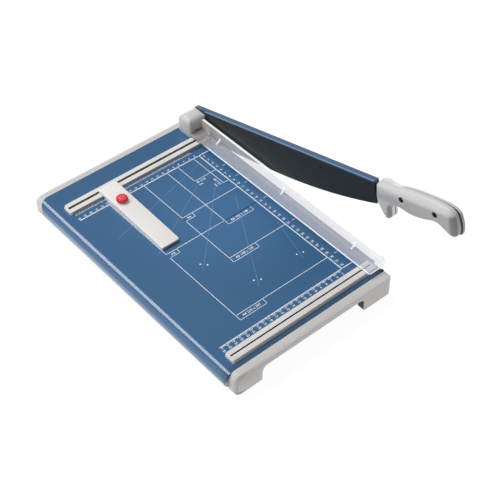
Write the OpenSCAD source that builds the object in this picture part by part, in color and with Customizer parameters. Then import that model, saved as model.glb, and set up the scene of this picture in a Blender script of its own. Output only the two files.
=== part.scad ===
// Guillotine paper cutter: sheet-metal table, lower knife, lever arm with a curved blade,
// clear guard, two slotted stop rails and a sliding back gauge. Millimetres, +Z up.
// X runs across the table towards the cut, Y runs along the cut towards the pivot.
// The sub-parts are drawn from the cut: x = 0 is the cutting plane, y = 0 the face of the
// rear stop, z = 0 the top of the table. at_cut() then puts them in the part's own frame.

/* [Table] */
// Height of the table top above the surface it stands on
table_h = 37; // [36:0.5:40]
// Distance from the cutting plane to the rolled left edge
table_w = 288; // [280:1:300]
// Sheet thickness of the table
sheet_t = 1.5; // [1.2:0.1:2]
// Outer radius of the rolled left edge
roll_r = 12.5; // [11:0.5:13]
// Thickness of each end cap along the cut
cap_t = 12.5; // [10:0.5:14]
// Height of the arch under each end cap
arch_h = 24; // [18:1:25]

/* [Stop rails] */
// Height of the stop rails above the table
rail_h = 4.6; // [4.4:0.1:4.8]
// Width of the slot along the rear rail
rear_slot_w = 3.4; // [3:0.1:3.6]
// Width of the slot along the front rail
front_slot_w = 2; // [1.6:0.1:3]

/* [Lever arm] */
// Angle of the arm above the table as drawn
arm_open = 15.7; // [0:0.1:60]
// Height of the pivot above the table
pivot_z = 15; // [14:0.5:16]
// Radius of the curved cutting edge
edge_r = 1030; // [900:10:1200]
// Radius of the cutting edge towards the pivot
root_r = 2000; // [1500:50:3000]
// Blade thickness
blade_t = 3; // [2.5:0.1:3]
// Angle that the arm can close from the drawn pose
close_deg = 16.5; // [15:0.5:17]
// Angle that the arm can open further from the drawn pose
raise_deg = 50; // [40:1:55]

/* [Guard] */
// Gap between the table and the guard
guard_gap = 6.8; // [6:0.1:7]
// Thickness of the clear sheet
guard_t = 2.4; // [2:0.1:3]

/* [Back gauge] */
// Place of the gauge's middle, left of the cutting plane
gauge_pos = 193.9; // [50:0.1:245]
// Width of the gauge
gauge_w = 30.8; // [28:0.1:34]
// Radius of the red knob
knob_r = 8.9; // [8:0.1:11]

/* [Hidden] */
$fn = 64;
e = 0.02;
// the part's own frame: middle of the footprint, on the surface it stands on
cut_x = 133;
stop_y = 202;
// plan of the base
front_y = -366.6;
rear_y = 57.7;
foot_z = -table_h + 1;
cap_left = -281.5;
cap_right = -2.8;
cap_top = 0.6;
knife_x = -0.15;
arm_x = 0.15;
web_x = arm_x + blade_t;
arm_x1 = arm_x + 10;
pivot_y = 44;
// rails: section of each from the front to the rear, middle of its slot, left end
rear_rail = [[1.6, 0], [3, rail_h], [22.7, rail_h], [23.3, 0]];
front_rail = [[-358.4, 0], [-356.6, rail_h], [-339.4, rail_h], [-338.8, 0]];
rear_slot_y = 12.9;
front_slot_y = -348;
rail_x0 = -266;
rail_x1 = -8.6;
// guard hinge
gh_y = 32.8;
gh_z = guard_gap + guard_t / 2;
guard_x0 = -6.4;
guard_x1 = -2.8;
guard_y = 25.6;
// stop pin on the bracket, below and in front of the pivot
stop_r = 11;
stop_a = 235;
// handle: seam plane and outer faces
seam_x = 10.6;
grip_left = -2.4;
grip_right = 17.5;
gauge_x0 = -gauge_pos - gauge_w / 2;
gauge_x1 = -gauge_pos + gauge_w / 2;
knob_x = -gauge_pos - 2.5;
knob_y = -27.6;
knob_z = 10.4;
knife_screw_y = [-330, -247, -164, -81, 2];
blade_screw_u = [75, 178, 285];
grip_screws = [[441, 5.5], [499, 4]];

// ---------- frames and helpers ----------
module at_cut() { translate([cut_x, stop_y, table_h]) children(); }
// arm frame: y = minus the distance from the pivot, z = square to the arm
module on_arm() { at_cut() translate([0, pivot_y, pivot_z]) rotate([-arm_open, 0, 0]) children(); }
module along_x(x0, x1) { translate([x0, 0, 0]) rotate([90, 0, 90]) linear_extrude(x1 - x0) children(); }
module along_y(y0, y1) { translate([0, y1, 0]) rotate([90, 0, 0]) linear_extrude(y1 - y0) children(); }
module along_z(z0, z1) { translate([0, 0, z0]) linear_extrude(z1 - z0) children(); }
module cyl_x(x0, x1, y, z, r) { translate([x0, y, z]) rotate([0, 90, 0]) cylinder(h = x1 - x0, r = r); }
module cyl_y(y0, y1, x, z, r) { translate([x, y1, z]) rotate([90, 0, 0]) cylinder(h = y1 - y0, r = r); }
module cyl_z(z0, z1, x, y, r) { translate([x, y, z0]) cylinder(h = z1 - z0, r = r); }
module box(x0, y0, z0, x1, y1, z1) { translate([x0, y0, z0]) cube([x1 - x0, y1 - y0, z1 - z0]); }
module sq(x0, y0, x1, y1) { translate([x0, y0]) square([x1 - x0, y1 - y0]); }
module bite(x, y, sx, sy, r) {
    if (r > 0) difference() {
        sq(sx > 0 ? x - 1 : x - r, sy > 0 ? y - 1 : y - r, sx > 0 ? x + r : x + 1, sy > 0 ? y + r : y + 1);
        translate([x + sx * r, y + sy * r]) circle(r);
    }
}
// rectangle with its own radius at each corner
module rrect(x0, y0, x1, y1, bl = 0, br = 0, tr = 0, tl = 0) {
    difference() {
        sq(x0, y0, x1, y1);
        bite(x0, y0, 1, 1, bl);
        bite(x1, y0, -1, 1, br);
        bite(x1, y1, -1, -1, tr);
        bite(x0, y1, 1, -1, tl);
    }
}
// countersunk screw along +X: head face at x0, pointing to -X
module csk_minus_x(x0, y, z, r, head_r, len) {
    union() {
        translate([x0 - (head_r - r), y, z]) rotate([0, 90, 0]) cylinder(h = head_r - r, r1 = r, r2 = head_r);
        cyl_x(x0 - len, x0 - (head_r - r) + e, y, z, r);
    }
}
module csk_plus_x(x0, y, z, r, head_r, len) {
    union() {
        translate([x0, y, z]) rotate([0, 90, 0]) cylinder(h = head_r - r, r1 = head_r, r2 = r);
        cyl_x(x0 + (head_r - r) - e, x0 + len, y, z, r);
    }
}

// ---------- base ----------
module table_section() {
    difference() {
        rrect(-table_w, -2 * roll_r - 0.4, -8.2, 0, bl = roll_r, tl = roll_r);
        rrect(-table_w + sheet_t, -2 * roll_r - 0.4 + sheet_t, -8.2 - sheet_t, -sheet_t, bl = roll_r - sheet_t, tl = roll_r - sheet_t);
        sq(-table_w + 30, -2 * roll_r - 1, -8.2 - sheet_t, -2 * roll_r + 3);
        sq(-11, -2 * roll_r - 1, -8, -24);
    }
}
module rail_screw_places() {
    for (x = [-250, -136, -42]) for (y = [5.4, 20, -354, -342]) translate([x, y, 0]) children();
}
// plan of the cut-off rear left corner of the sheet, filled by the rear cap
corner_cut = [[-272, 59], [-272, 57.7], [-279.5, 55.2], [-283.5, 51.8], [-286.2, 47.8], [-289, 43], [-290, 59]];
// the sheet runs on past the ends of the knife, with its own flange
module table_tab(y0, y1) {
    box(-9.5, y0, -sheet_t, -3.2, y1, 0);
    box(-3.2 - sheet_t, y0, -22, -3.2, y1, -sheet_t / 2);
}
module table_plate() {
    color([0.20, 0.36, 0.56]) at_cut() difference() {
        union() {
            along_y(front_y, rear_y) table_section();
            table_tab(front_y, -345.6);
            table_tab(27.6, rear_y);
        }
        along_z(-30, 1) polygon(corner_cut);
        rail_screw_places() cyl_z(-3, 1, 0, 0, 1.3);
        for (y = [40, 51]) cyl_z(-3, 1, -18, y, 2.6);
        for (y = knife_screw_y) cyl_x(-11, -7, y, -10.5, 2.6);
    }
}

module cap_section() {
    difference() {
        rrect(cap_left, foot_z, cap_right, cap_top, bl = 13, br = 2, tl = 11.5, tr = 1.5);
        rrect(-234, foot_z - 20, -51, foot_z + arch_h, tl = 10, tr = 10);
    }
}
// lugs that reach in under the cross ribs, and a ledge under the table's edge
module cap_inside(y0, y1, yl) {
    for (x = [[-262, -238], [-51, -33]]) box(x[0], min(y0, y1), -16.5, x[1], max(y0, y1), -13.5);
    box(-262, min(y0, yl), -4.5, -33, max(y0, yl), -sheet_t);
}
module pad_places(y) { for (x = [[-266, -240], [-46, -10]]) box(x[0], y - 4, -table_h, x[1], y + 4, foot_z + 2); }
module cap_screw_places(y) { for (x = [-250, -42]) translate([x, y, 0]) children(); }
module front_end_cap() {
    color([0.68, 0.67, 0.65]) at_cut() difference() {
        union() {
            intersection() {
                along_y(front_y - cap_t, front_y) cap_section();
                along_z(foot_z - 1, 1) rrect(cap_left, front_y - cap_t, cap_right, front_y, bl = 3, br = 3);
            }
            cap_inside(front_y - 2, -320, front_y + 5);
        }
        pad_places(front_y - cap_t / 2);
        cap_screw_places(-326) cyl_z(-18, -12, 0, 0, 2);
    }
}
module rear_end_cap() {
    color([0.78, 0.77, 0.75]) at_cut() difference() {
        union() {
            intersection() {
                along_y(rear_y, rear_y + cap_t) cap_section();
                along_z(foot_z - 1, 1) rrect(cap_left, rear_y, cap_right, rear_y + cap_t, tl = 10, tr = 3);
            }
            // corner piece that carries on the rolled edge
            intersection() {
                along_y(40, rear_y + cap_t - 0.5) rrect(-table_w, -2 * roll_r - 0.4, -265, 0, bl = roll_r, tl = roll_r);
                along_z(-30, 1) difference() {
                    rrect(-table_w, 40, -265, rear_y + cap_t - 0.5, tl = 16);
                    difference() {
                        sq(-295, 30, -260, rear_y);
                        polygon(corner_cut);
                    }
                }
            }
            cap_inside(rear_y + 2, 31, rear_y - 5);
        }
        pad_places(rear_y + cap_t / 2);
        cap_screw_places(37) cyl_z(-18, -12, 0, 0, 2);
    }
}
module foot_pads() {
    color([0.12, 0.12, 0.12]) at_cut() for (y = [front_y - cap_t / 2, rear_y + cap_t / 2]) pad_places(y);
}
module lower_knife() {
    color([0.75, 0.76, 0.78]) at_cut() difference() {
        box(-8.2, -345, -21, knife_x, 27, 0);
        for (y = knife_screw_y) {
            cyl_x(-9, 1, y, -10.5, 2.5);
            translate([knife_x - 2.3, y, -10.5]) rotate([0, 90, 0]) cylinder(h = 2.4, r1 = 2.5, r2 = 4.9);
        }
    }
}
module knife_screws() {
    color([0.55, 0.56, 0.58]) at_cut() for (y = knife_screw_y) csk_minus_x(knife_x - 0.3, y, -10.5, 2.5, 4.5, 16.6);
}
module knife_nuts() {
    color([0.6, 0.6, 0.62]) at_cut() for (y = knife_screw_y) difference() {
        translate([-16.7, y, -10.5]) rotate([0, 90, 0]) cylinder(h = 4, r = 4.6, $fn = 6);
        cyl_x(-18, -12, y, -10.5, 2.5);
    }
}
module edge_angle() {
    color([0.5, 0.52, 0.54]) at_cut() difference() {
        along_y(front_y + 2, rear_y - 2) union() {
            sq(-12.7, -30, -9.7, -sheet_t);
            sq(-30, -sheet_t - 3, -12.7 + e, -sheet_t);
        }
        for (y = knife_screw_y) cyl_x(-14, -8, y, -10.5, 2.5);
        for (y = [40, 51]) cyl_z(-6, 0, -18, y, 2.6);
    }
}
module table_ribs() {
    color([0.2, 0.36, 0.56]) at_cut() for (y = [[-338, -313], [24, 49]]) difference() {
        box(-262, y[0], -13.5, -33, y[1], -sheet_t);
        box(-263, y[0] + 1.5, -12, -32, y[1] - 1.5, 0);
        cap_screw_places(y[0] < 0 ? -326 : 37) cyl_z(-15, -11, 0, 0, 2);
    }
}
module cap_screws() {
    color([0.6, 0.6, 0.62]) at_cut() for (y = [-326, 37]) cap_screw_places(y) difference() {
        union() {
            cyl_z(-17.5, -8, 0, 0, 2);
            cyl_z(-19, -16.5, 0, 0, 3.8);
        }
        translate([0, 0, -20]) cylinder(h = 2.5, r = 1.7, $fn = 6);
    }
}
// a rail with sloping sides and an undercut slot, closed at both ends
module slotted_rail(section, x0, slot_y, w, foot_w, r_front, r_rear) {
    difference() {
        intersection() {
            along_x(x0, rail_x1) polygon(section);
            along_z(-1, rail_h + 1) rrect(x0, section[0].x, rail_x1, section[3].x, bl = r_front, tl = r_rear);
        }
        box(x0 + 4, slot_y - w / 2, 2, rail_x1 - 4, slot_y + w / 2, rail_h + 1);
        box(x0 + 4, slot_y - foot_w / 2, 0.8, rail_x1 - 4, slot_y + foot_w / 2, 2.6);
        rail_screw_places() cyl_z(-1, 3.2, 0, 0, 1.25);
    }
}
module rear_stop_rail() {
    color([0.88, 0.85, 0.82]) at_cut() slotted_rail(rear_rail, rail_x0, rear_slot_y, rear_slot_w, 8, 3, 7);
}
module front_stop_rail() {
    color([0.88, 0.85, 0.82]) at_cut() slotted_rail(front_rail, rail_x0 + 0.5, front_slot_y, front_slot_w, 6, 2, 5);
}
module rail_screws() {
    color([0.6, 0.6, 0.62]) at_cut() rail_screw_places() union() {
        cyl_z(-sheet_t - e, 3, 0, 0, 1.25);
        cyl_z(-sheet_t - 2, -sheet_t, 0, 0, 2.4);
    }
}

// ---------- pivot ----------
module stop_pin_at(x0, x1, r) {
    cyl_x(x0, x1, pivot_y + stop_r * cos(stop_a), pivot_z + stop_r * sin(stop_a), r);
}
module pivot_bracket() {
    color([0.45, 0.46, 0.48]) at_cut() difference() {
        union() {
            along_x(-22, -1) rrect(35.5, 0, 54, 24, tl = 6, tr = 9);
            for (x = [[-22, -19], [-7, -4]]) along_x(x[0], x[1]) rrect(30.4, 2, 36, 12.5, bl = 1, tl = 2);
        }
        cyl_x(-30, 0, pivot_y, pivot_z, 5);
        stop_pin_at(-12, 0, 1.5);
        cyl_x(-30, 0, gh_y, gh_z, 1.5);
        for (y = [40, 51]) cyl_z(-1, 8.6, -18, y, 2.5);
        cyl_y(46, 60, -13, 4.5, 1.5);
    }
}
module bracket_screws() {
    color([0.6, 0.6, 0.62]) at_cut() for (y = [40, 51]) difference() {
        union() {
            cyl_z(-sheet_t - 3 - e, 8.5, -18, y, 2.5);
            cyl_z(-sheet_t - 7.5, -sheet_t - 3, -18, y, 4.2);
        }
        translate([-18, y, -10]) cylinder(h = 3, r = 2.3, $fn = 6);
    }
}
module pivot_cover() {
    color([0.80, 0.80, 0.80]) at_cut() difference() {
        intersection() {
            along_y(26.4, 57) rrect(-28.5, 0.1, 2.2, 30.5, tl = 8, tr = 2.5);
            along_x(-28.5, 2.2) rrect(26.4, 0.1, 57, 30.5, tl = 9, tr = 13);
            along_z(0.1, 30.5) rrect(-28.5, 26.4, 2.2, 57, bl = 3, br = 2, tr = 2, tl = 4);
        }
        intersection() {
            along_y(28.4, 55) rrect(-26.3, -1, 0.2, 28.5, tl = 6, tr = 1);
            along_x(-26.3, 0.2) rrect(28.4, -1, 55, 28.5, tl = 7, tr = 11);
            along_z(-1, 29) rrect(-26.3, 28.4, 0.2, 55, bl = 2, tl = 2);
        }
        box(-22.5, 25, -1, -3.5, 29, 13);
        cyl_x(-1, 4, pivot_y, pivot_z, 9);
        stop_pin_at(-1, 4, 2.6);
        cyl_y(50, 60, -13, 4.5, 1.5);
        translate([-13, 57.1, 4.5]) rotate([90, 0, 0]) cylinder(h = 1.6, r1 = 3.1, r2 = 1.5);
    }
}
module cover_screw() {
    color([0.6, 0.6, 0.62]) at_cut() union() {
        cyl_y(46.5, 56.5, -13, 4.5, 1.5);
        translate([-13, 56.9, 4.5]) rotate([90, 0, 0]) cylinder(h = 1.35, r1 = 2.85, r2 = 1.5);
    }
}
module pivot_bolt() {
    color([0.66, 0.67, 0.69]) at_cut() difference() {
        union() {
            cyl_x(-25.4, 12.4, pivot_y, pivot_z, 5);
            cyl_x(12.2, 16.8, pivot_y, pivot_z, 9);
        }
        translate([14, pivot_y, pivot_z]) rotate([0, 90, 0]) cylinder(h = 4, r = 4.6, $fn = 6);
    }
}
module pivot_nut() {
    color([0.6, 0.6, 0.62]) at_cut() difference() {
        translate([-25.3, pivot_y, pivot_z]) rotate([0, 90, 0]) cylinder(h = 3.3, r = 9, $fn = 6);
        cyl_x(-27, -20, pivot_y, pivot_z, 5);
    }
}
// two dished spring washers back to back under the bolt head
module disc_springs() {
    color([0.5, 0.5, 0.52]) at_cut() translate([0, pivot_y, pivot_z]) rotate([0, 90, 0]) {
        translate([0, 0, 10.5]) rotate_extrude() polygon([[5.1, 0.35], [8.8, 0], [8.8, 0.45], [5.1, 0.8]]);
        translate([0, 0, 11.35]) rotate_extrude() polygon([[5.1, 0], [8.8, 0.35], [8.8, 0.8], [5.1, 0.45]]);
    }
}
module thrust_washer() {
    color([0.72, 0.55, 0.3]) at_cut() difference() {
        cyl_x(-1, 3.05, pivot_y, pivot_z, 8.5);
        cyl_x(-3, 5, pivot_y, pivot_z, 5);
    }
}
module stop_pin() { color([0.66, 0.67, 0.69]) at_cut() stop_pin_at(-12, 8.5, 1.5); }

// ---------- guard ----------
module guard_hinge_pin() { color([0.66, 0.67, 0.69]) at_cut() cyl_x(-22, -4, gh_y, gh_z, 1.5); }
// wire path of the torsion spring: front leg, coil round the hinge pin, leg down to the table
spring_r = 2.2;
spring_turn = 990;
function coil_pt(a) = [-15 + 4 * (a - 270) / spring_turn, gh_y + spring_r * cos(a), gh_z + spring_r * sin(a)];
spring_path = concat([[-15, 24.5, gh_z - spring_r], [-15, 29, gh_z - spring_r]],
    [for (a = [270:22.5:270 + spring_turn]) coil_pt(a)],
    [[-11, gh_y - spring_r, 4], [-11, gh_y - spring_r, 0.6]]);
function unit(v) = v / norm(v);
// tube of n sides along a list of points, swept without twist by carrying the side vector forward
function side_start(t) = unit(cross(t, abs(t.x) < 0.9 ? [1, 0, 0] : [0, 0, 1]));
function tangent(p, i) = unit(p[min(i + 1, len(p) - 1)] - p[max(i - 1, 0)]);
function sides(p, i = 0, s = undef, out = []) = i == len(p) ? out :
    let (t = tangent(p, i), v = s == undef ? side_start(t) : unit(s - (s * t) * t))
    sides(p, i + 1, v, concat(out, [v]));
module tube(p, r, n) {
    sv = sides(p);
    pts = [for (i = [0:len(p) - 1]) let (t = tangent(p, i), a = sv[i], b = cross(t, a))
        for (k = [0:n - 1]) p[i] + r * (cos(360 * k / n) * a + sin(360 * k / n) * b)];
    m = len(p);
    faces = concat([[for (k = [0:n - 1]) k]],
        [for (i = [0:m - 2]) for (k = [0:n - 1])
            [i * n + k, (i + 1) * n + k, (i + 1) * n + (k + 1) % n, i * n + (k + 1) % n]],
        [[for (k = [n - 1:-1:0]) (m - 1) * n + k]]);
    polyhedron(points = pts, faces = faces, convexity = 6);
}
module guard_spring() { color([0.55, 0.56, 0.58]) at_cut() tube(spring_path, 0.35, 8); }
module blade_guard() {
    color([0.75, 0.80, 0.90, 0.45]) at_cut() difference() {
        union() {
            along_z(guard_gap, guard_gap + guard_t) rrect(-29.5, -363.8, guard_x1, guard_y, bl = 2.5, tl = 1);
            along_x(guard_x0, guard_x1) rrect(-366, guard_gap, guard_y, 26.3, tl = 9, tr = 3);
            for (y = [-313, -166, -20]) along_y(y - 1, y + 1)
                polygon([[-15, guard_gap + 1], [-5, guard_gap + 1], [-5, 17], [guard_x0, 17], [-15, guard_gap + guard_t + 0.5]]);
            for (x = [[-18.7, -15.7], [-10.3, -7.3]]) along_x(x[0], x[1]) union() {
                translate([gh_y, gh_z]) circle(2.3);
                sq(24, guard_gap, gh_y, guard_gap + guard_t);
            }
        }
        cyl_x(-25, 0, gh_y, gh_z, 1.55);
    }
}

// ---------- back gauge ----------
function gauge_top(y) = 11.2 - (13.5 - y) * 6.2 / 152.5;
module gauge_body() {
    color([0.91, 0.88, 0.86]) at_cut() difference() {
        union() {
            intersection() {
                along_x(gauge_x0, gauge_x1) polygon([[15, rail_h + 0.4], [15, 7.8], [11, 11.1], [-137.5, gauge_top(-137.5)],
                    [-139, 4.2], [-139, 0.4], [-2, 0.4], [-2, rail_h + 0.4]]);
                along_z(-1, 14) rrect(gauge_x0, -139, gauge_x1, 15, bl = 1.5, br = 4.5, tr = 8, tl = 3);
            }
            cyl_z(7.5, knob_z - 0.3, knob_x, knob_y, knob_r + 0.6);
        }
        intersection() {
            along_x(gauge_x0 + 2, gauge_x1 - 2) polygon([[13.7, 0], [13.7, 7.3], [10.2, 9], [-137, gauge_top(-137) - 2], [-137, 0]]);
            along_z(-1, 14) rrect(gauge_x0 + 2, -138, gauge_x1 - 2, 13.7, tr = 6);
        }
        cyl_z(4, 14, knob_x, knob_y, 2.55);
    }
}
module gauge_clamp_plate() {
    color([0.6, 0.6, 0.62]) at_cut() difference() {
        along_x(-gauge_pos - 9, -gauge_pos + 7) union() {
            sq(-36, 5.1, 13.6, 7);
            sq(12, 1.1, 13.6, 6);
            sq(9.3, 1.1, 16.3, 2.2);
        }
        cyl_z(4, 8, knob_x, knob_y, 2.55);
    }
}
module gauge_knob() {
    color([0.78, 0.16, 0.18]) at_cut() translate([knob_x, knob_y, 0]) difference() {
        rotate_extrude() polygon([[2.5, knob_z], [knob_r, knob_z], [knob_r, knob_z + 4], [knob_r - 1, knob_z + 5.4],
            [knob_r - 2.6, knob_z + 6], [0, knob_z + 6.3], [0, knob_z + 3], [2.5, knob_z + 3]]);
        for (a = [15:30:345]) rotate(a) translate([knob_r + 0.9, 0, knob_z - 1]) cylinder(h = 8, r = 1.4);
    }
}
module gauge_stud() {
    color([0.6, 0.6, 0.62]) at_cut() cyl_z(2, knob_z + 3, knob_x, knob_y, 2.5);
}

// ---------- lever arm ----------
// arc slot round the pivot for the stop pin, with a flat end just past the closed and the raised place
module stop_slot() {
    pin_a = asin(1.5 / stop_r) + 1.4;
    a0 = stop_a + arm_open - close_deg - pin_a;
    a1 = stop_a + arm_open + raise_deg + pin_a;
    intersection() {
        difference() { circle(stop_r + 1.8); circle(stop_r - 1.8); }
        polygon(concat([[0, 0]], [for (k = [0:6]) 30 * [cos(a0 + k * (a1 - a0) / 6), sin(a0 + k * (a1 - a0) / 6)]]));
    }
}
module arm_carrier() {
    color([0.22, 0.36, 0.58]) on_arm() difference() {
        union() {
            along_x(web_x, arm_x1) union() {
                rrect(-391, -12, 10.5, 16, tr = 8);
                rrect(-18, -15.5, 10.5, -5, bl = 3.4, br = 3);
            }
            along_x(arm_x, arm_x1) sq(-391, 13.5, -24, 16);
            along_x(web_x, arm_x1) rrect(-508, -4, -380, 9.5, bl = 4, tl = 4);
        }
        cyl_x(-1, 12, 0, 0, 7);
        along_x(-1, 12) stop_slot();
        for (u = blade_screw_u) cyl_x(0, 12, -u, 2.8, 2.5);
        for (g = grip_screws) cyl_x(0, 12, -g[0], g[1], 2.2);
    }
}
module upper_blade() {
    color([0.16, 0.18, 0.19]) on_arm() difference() {
        along_x(arm_x, web_x) union() {
            intersection() {
                sq(-391, -40, -185, 13.4);
                translate([-185, edge_r - 39.4]) circle(edge_r, $fn = 240);
            }
            intersection() {
                sq(-185, -40, -24, 13.4);
                translate([-185, root_r - 39.4]) circle(root_r, $fn = 480);
            }
        }
        for (u = blade_screw_u) {
            cyl_x(0, 12, -u, 2.8, 2.5);
            translate([arm_x - 0.1, -u, 2.8]) rotate([0, 90, 0]) cylinder(h = 2.3, r1 = 4.8, r2 = 2.5);
        }
    }
}
module blade_screws() {
    color([0.08, 0.08, 0.09]) on_arm() for (u = blade_screw_u) difference() {
        csk_plus_x(arm_x + 0.1, -u, 2.8, 2.5, 4.5, 9.6);
        translate([arm_x - 1, -u, 2.8]) rotate([0, 90, 0]) cylinder(h = 2.4, r = 1.7, $fn = 6);
    }
}
module pivot_bush() {
    color([0.72, 0.55, 0.3]) on_arm() difference() {
        cyl_x(web_x, arm_x1, 0, 0, 7);
        cyl_x(-1, 12, 0, 0, 5.05);
    }
}

// side outline of the handle: distance along the arm, height square to it
grip_low = [[393, 12], [392, 0], [393, -13], [398, -24], [403, -32], [409, -36], [414, -32], [415, -24], [417, -16],
    [423, -11], [432, -10], [442, -12], [454, -14], [467, -14], [481, -12], [492, -9.5], [501, -10], [508, -14],
    [514, -18], [520, -21], [527, -22], [532, -18], [534, -8], [533, 3], [530, 11], [522, 16.5], [508, 19], [490, 20],
    [470, 20], [452, 19]];
grip_top_left = [[436, 17], [420, 14.5], [406, 13.3]];
grip_top_right = [[436, 17], [424, 15.5], [414, 17], [406, 19], [399, 17.5]];
function wrap(l, i) = l[(i % len(l) + len(l)) % len(l)];
// closed smooth curve through the points, k steps between neighbours
function smooth_loop(l, k) = [for (i = [0:len(l) - 1]) for (j = [0:k - 1])
    let (t = j / k, a = wrap(l, i - 1), b = l[i], c = wrap(l, i + 1), d = wrap(l, i + 2))
    0.5 * ((2 * b) + (c - a) * t + (2 * a - 5 * b + 4 * c - d) * t * t + (3 * b - a - 3 * c + d) * t * t * t)];
function inward(l, i) = let (t = unit(wrap(l, i + 1) - wrap(l, i - 1))) [-t.y, t.x];
// one layer of the grip: the outline moved in by its own amount, between two planes across the arm
module grip_layer(outline, x0, x1, inset) {
    along_x(x0, x1) polygon([for (i = [0:len(outline) - 1]) let (p = outline[i] + inset * inward(outline, i)) [-p.x, p.y]]);
}
// the layers step in towards the outer face
grip_steps = [[0, 1.7, 3], [1.7, 4.2, 1.2], [4.2, 99, 0]];
module handle_left_shell() {
    outline = smooth_loop(concat(grip_low, grip_top_left), 3);
    color([0.80, 0.79, 0.78]) on_arm() difference() {
        union() for (g = grip_steps) grip_layer(outline, grip_left + g[0], min(grip_left + g[1], seam_x), g[2]);
        along_x(web_x - 0.1, seam_x + 1) sq(-508.3, -4.3, -380, 9.8);
        for (g = grip_screws) {
            cyl_x(-5, 14, -g[0], g[1], 2.2);
            cyl_x(-5, 2, -g[0], g[1], 4.1);
        }
    }
}
module handle_right_shell() {
    outline = smooth_loop(concat(grip_low, grip_top_right), 3);
    color([0.80, 0.79, 0.78]) on_arm() difference() {
        union() for (g = grip_steps) grip_layer(outline, max(grip_right - g[1], seam_x + 0.1), grip_right - g[0], g[2]);
        for (g = grip_screws) {
            cyl_x(10, 15, -g[0], g[1], 2.2);
            translate([seam_x, -g[0], g[1]]) rotate([0, 90, 0]) cylinder(h = 3.4, r = 4.1, $fn = 6);
        }
    }
}
module handle_screws() {
    color([0.1, 0.1, 0.11]) on_arm() for (g = grip_screws) difference() {
        union() {
            cyl_x(-1.6, 2, -g[0], g[1], 3.6);
            cyl_x(2 - e, 14.6, -g[0], g[1], 2);
        }
        translate([-2, -g[0], g[1]]) rotate([0, 90, 0]) cylinder(h = 2.4, r = 1.9, $fn = 6);
    }
}
module handle_nuts() {
    color([0.6, 0.6, 0.62]) on_arm() for (g = grip_screws) difference() {
        translate([seam_x + 0.3, -g[0], g[1]]) rotate([0, 90, 0]) cylinder(h = 3, r = 4, $fn = 6);
        cyl_x(10, 20, -g[0], g[1], 2);
    }
}

table_plate();
front_end_cap();
rear_end_cap();
foot_pads();
lower_knife();
knife_screws();
knife_nuts();
edge_angle();
table_ribs();
cap_screws();
rear_stop_rail();
front_stop_rail();
rail_screws();
pivot_bracket();
bracket_screws();
pivot_cover();
cover_screw();
pivot_bolt();
pivot_nut();
disc_springs();
thrust_washer();
stop_pin();
guard_hinge_pin();
guard_spring();
blade_guard();
gauge_body();
gauge_clamp_plate();
gauge_knob();
gauge_stud();
arm_carrier();
upper_blade();
blade_screws();
pivot_bush();
handle_left_shell();
handle_right_shell();
handle_screws();
handle_nuts();
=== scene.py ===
"""Looks for the guillotine paper cutter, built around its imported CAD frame.

Measures are millimetres in the CAD source's own frame: X = 0 is the cut, Y = 0 the zero of the
printed scale at the rear stop, Z = 0 the top of the table. P() and A() turn them into metres.
"""

import math

import bmesh
import bpy
from mathutils import Matrix, Vector
from mathutils.geometry import delaunay_2d_cdt


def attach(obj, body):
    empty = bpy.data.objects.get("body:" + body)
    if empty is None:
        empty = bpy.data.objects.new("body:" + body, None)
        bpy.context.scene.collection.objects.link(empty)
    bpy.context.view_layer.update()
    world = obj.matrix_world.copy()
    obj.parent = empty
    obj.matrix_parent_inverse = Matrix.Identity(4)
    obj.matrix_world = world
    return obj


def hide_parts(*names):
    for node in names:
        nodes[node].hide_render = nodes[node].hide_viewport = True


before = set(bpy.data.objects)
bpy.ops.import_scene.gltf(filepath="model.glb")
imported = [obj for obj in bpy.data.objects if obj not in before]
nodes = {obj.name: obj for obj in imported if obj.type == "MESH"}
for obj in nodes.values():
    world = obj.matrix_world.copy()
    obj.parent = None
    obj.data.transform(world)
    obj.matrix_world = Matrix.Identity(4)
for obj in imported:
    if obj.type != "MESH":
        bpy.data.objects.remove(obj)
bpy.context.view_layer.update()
scene = bpy.context.scene

TILT = math.radians(15.7)
CT, ST = math.cos(TILT), math.sin(TILT)


def P(x, y, z):
    """A point of the base, in metres."""
    return Vector(((x + 133) / 1000, (y + 202) / 1000, (z + 37) / 1000))


def A(x, u, w):
    """A point of the arm: u along it from the pivot, w square to it."""
    return P(x, 44 - u * CT + w * ST, 15 + u * ST + w * CT)


# ---------------------------------------------------------------- materials


def lin(*c):
    """A screen colour, 0 to 255, as linear light."""
    out = []
    for v in c:
        v /= 255
        out.append(v / 12.92 if v <= 0.04045 else ((v + 0.055) / 1.055) ** 2.4)
    return (*out, 1.0)


def nd(nt, kind, ins=None, **props):
    n = nt.nodes.new(kind)
    for k, v in props.items():
        setattr(n, k, v)
    for k, v in (ins or {}).items():
        if isinstance(v, bpy.types.NodeSocket):
            nt.links.new(v, n.inputs[k])
        else:
            n.inputs[k].default_value = v
    return n


def mixc(nt, fac, a, b, how="MIX"):
    return nd(nt, "ShaderNodeMix", {0: fac, 6: a, 7: b}, data_type="RGBA", blend_type=how).outputs[2]


def ramp(nt, value, a, b, lo=0.0, hi=1.0, smooth=True):
    kind = "SMOOTHSTEP" if smooth else "LINEAR"
    return nd(
        nt, "ShaderNodeMapRange", {0: value, 1: a, 2: b, 3: lo, 4: hi}, interpolation_type=kind, clamp=True
    ).outputs[0]


def maths(nt, op, a, b=0.0):
    return nd(nt, "ShaderNodeMath", {0: a, 1: b}, operation=op).outputs[0]


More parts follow.
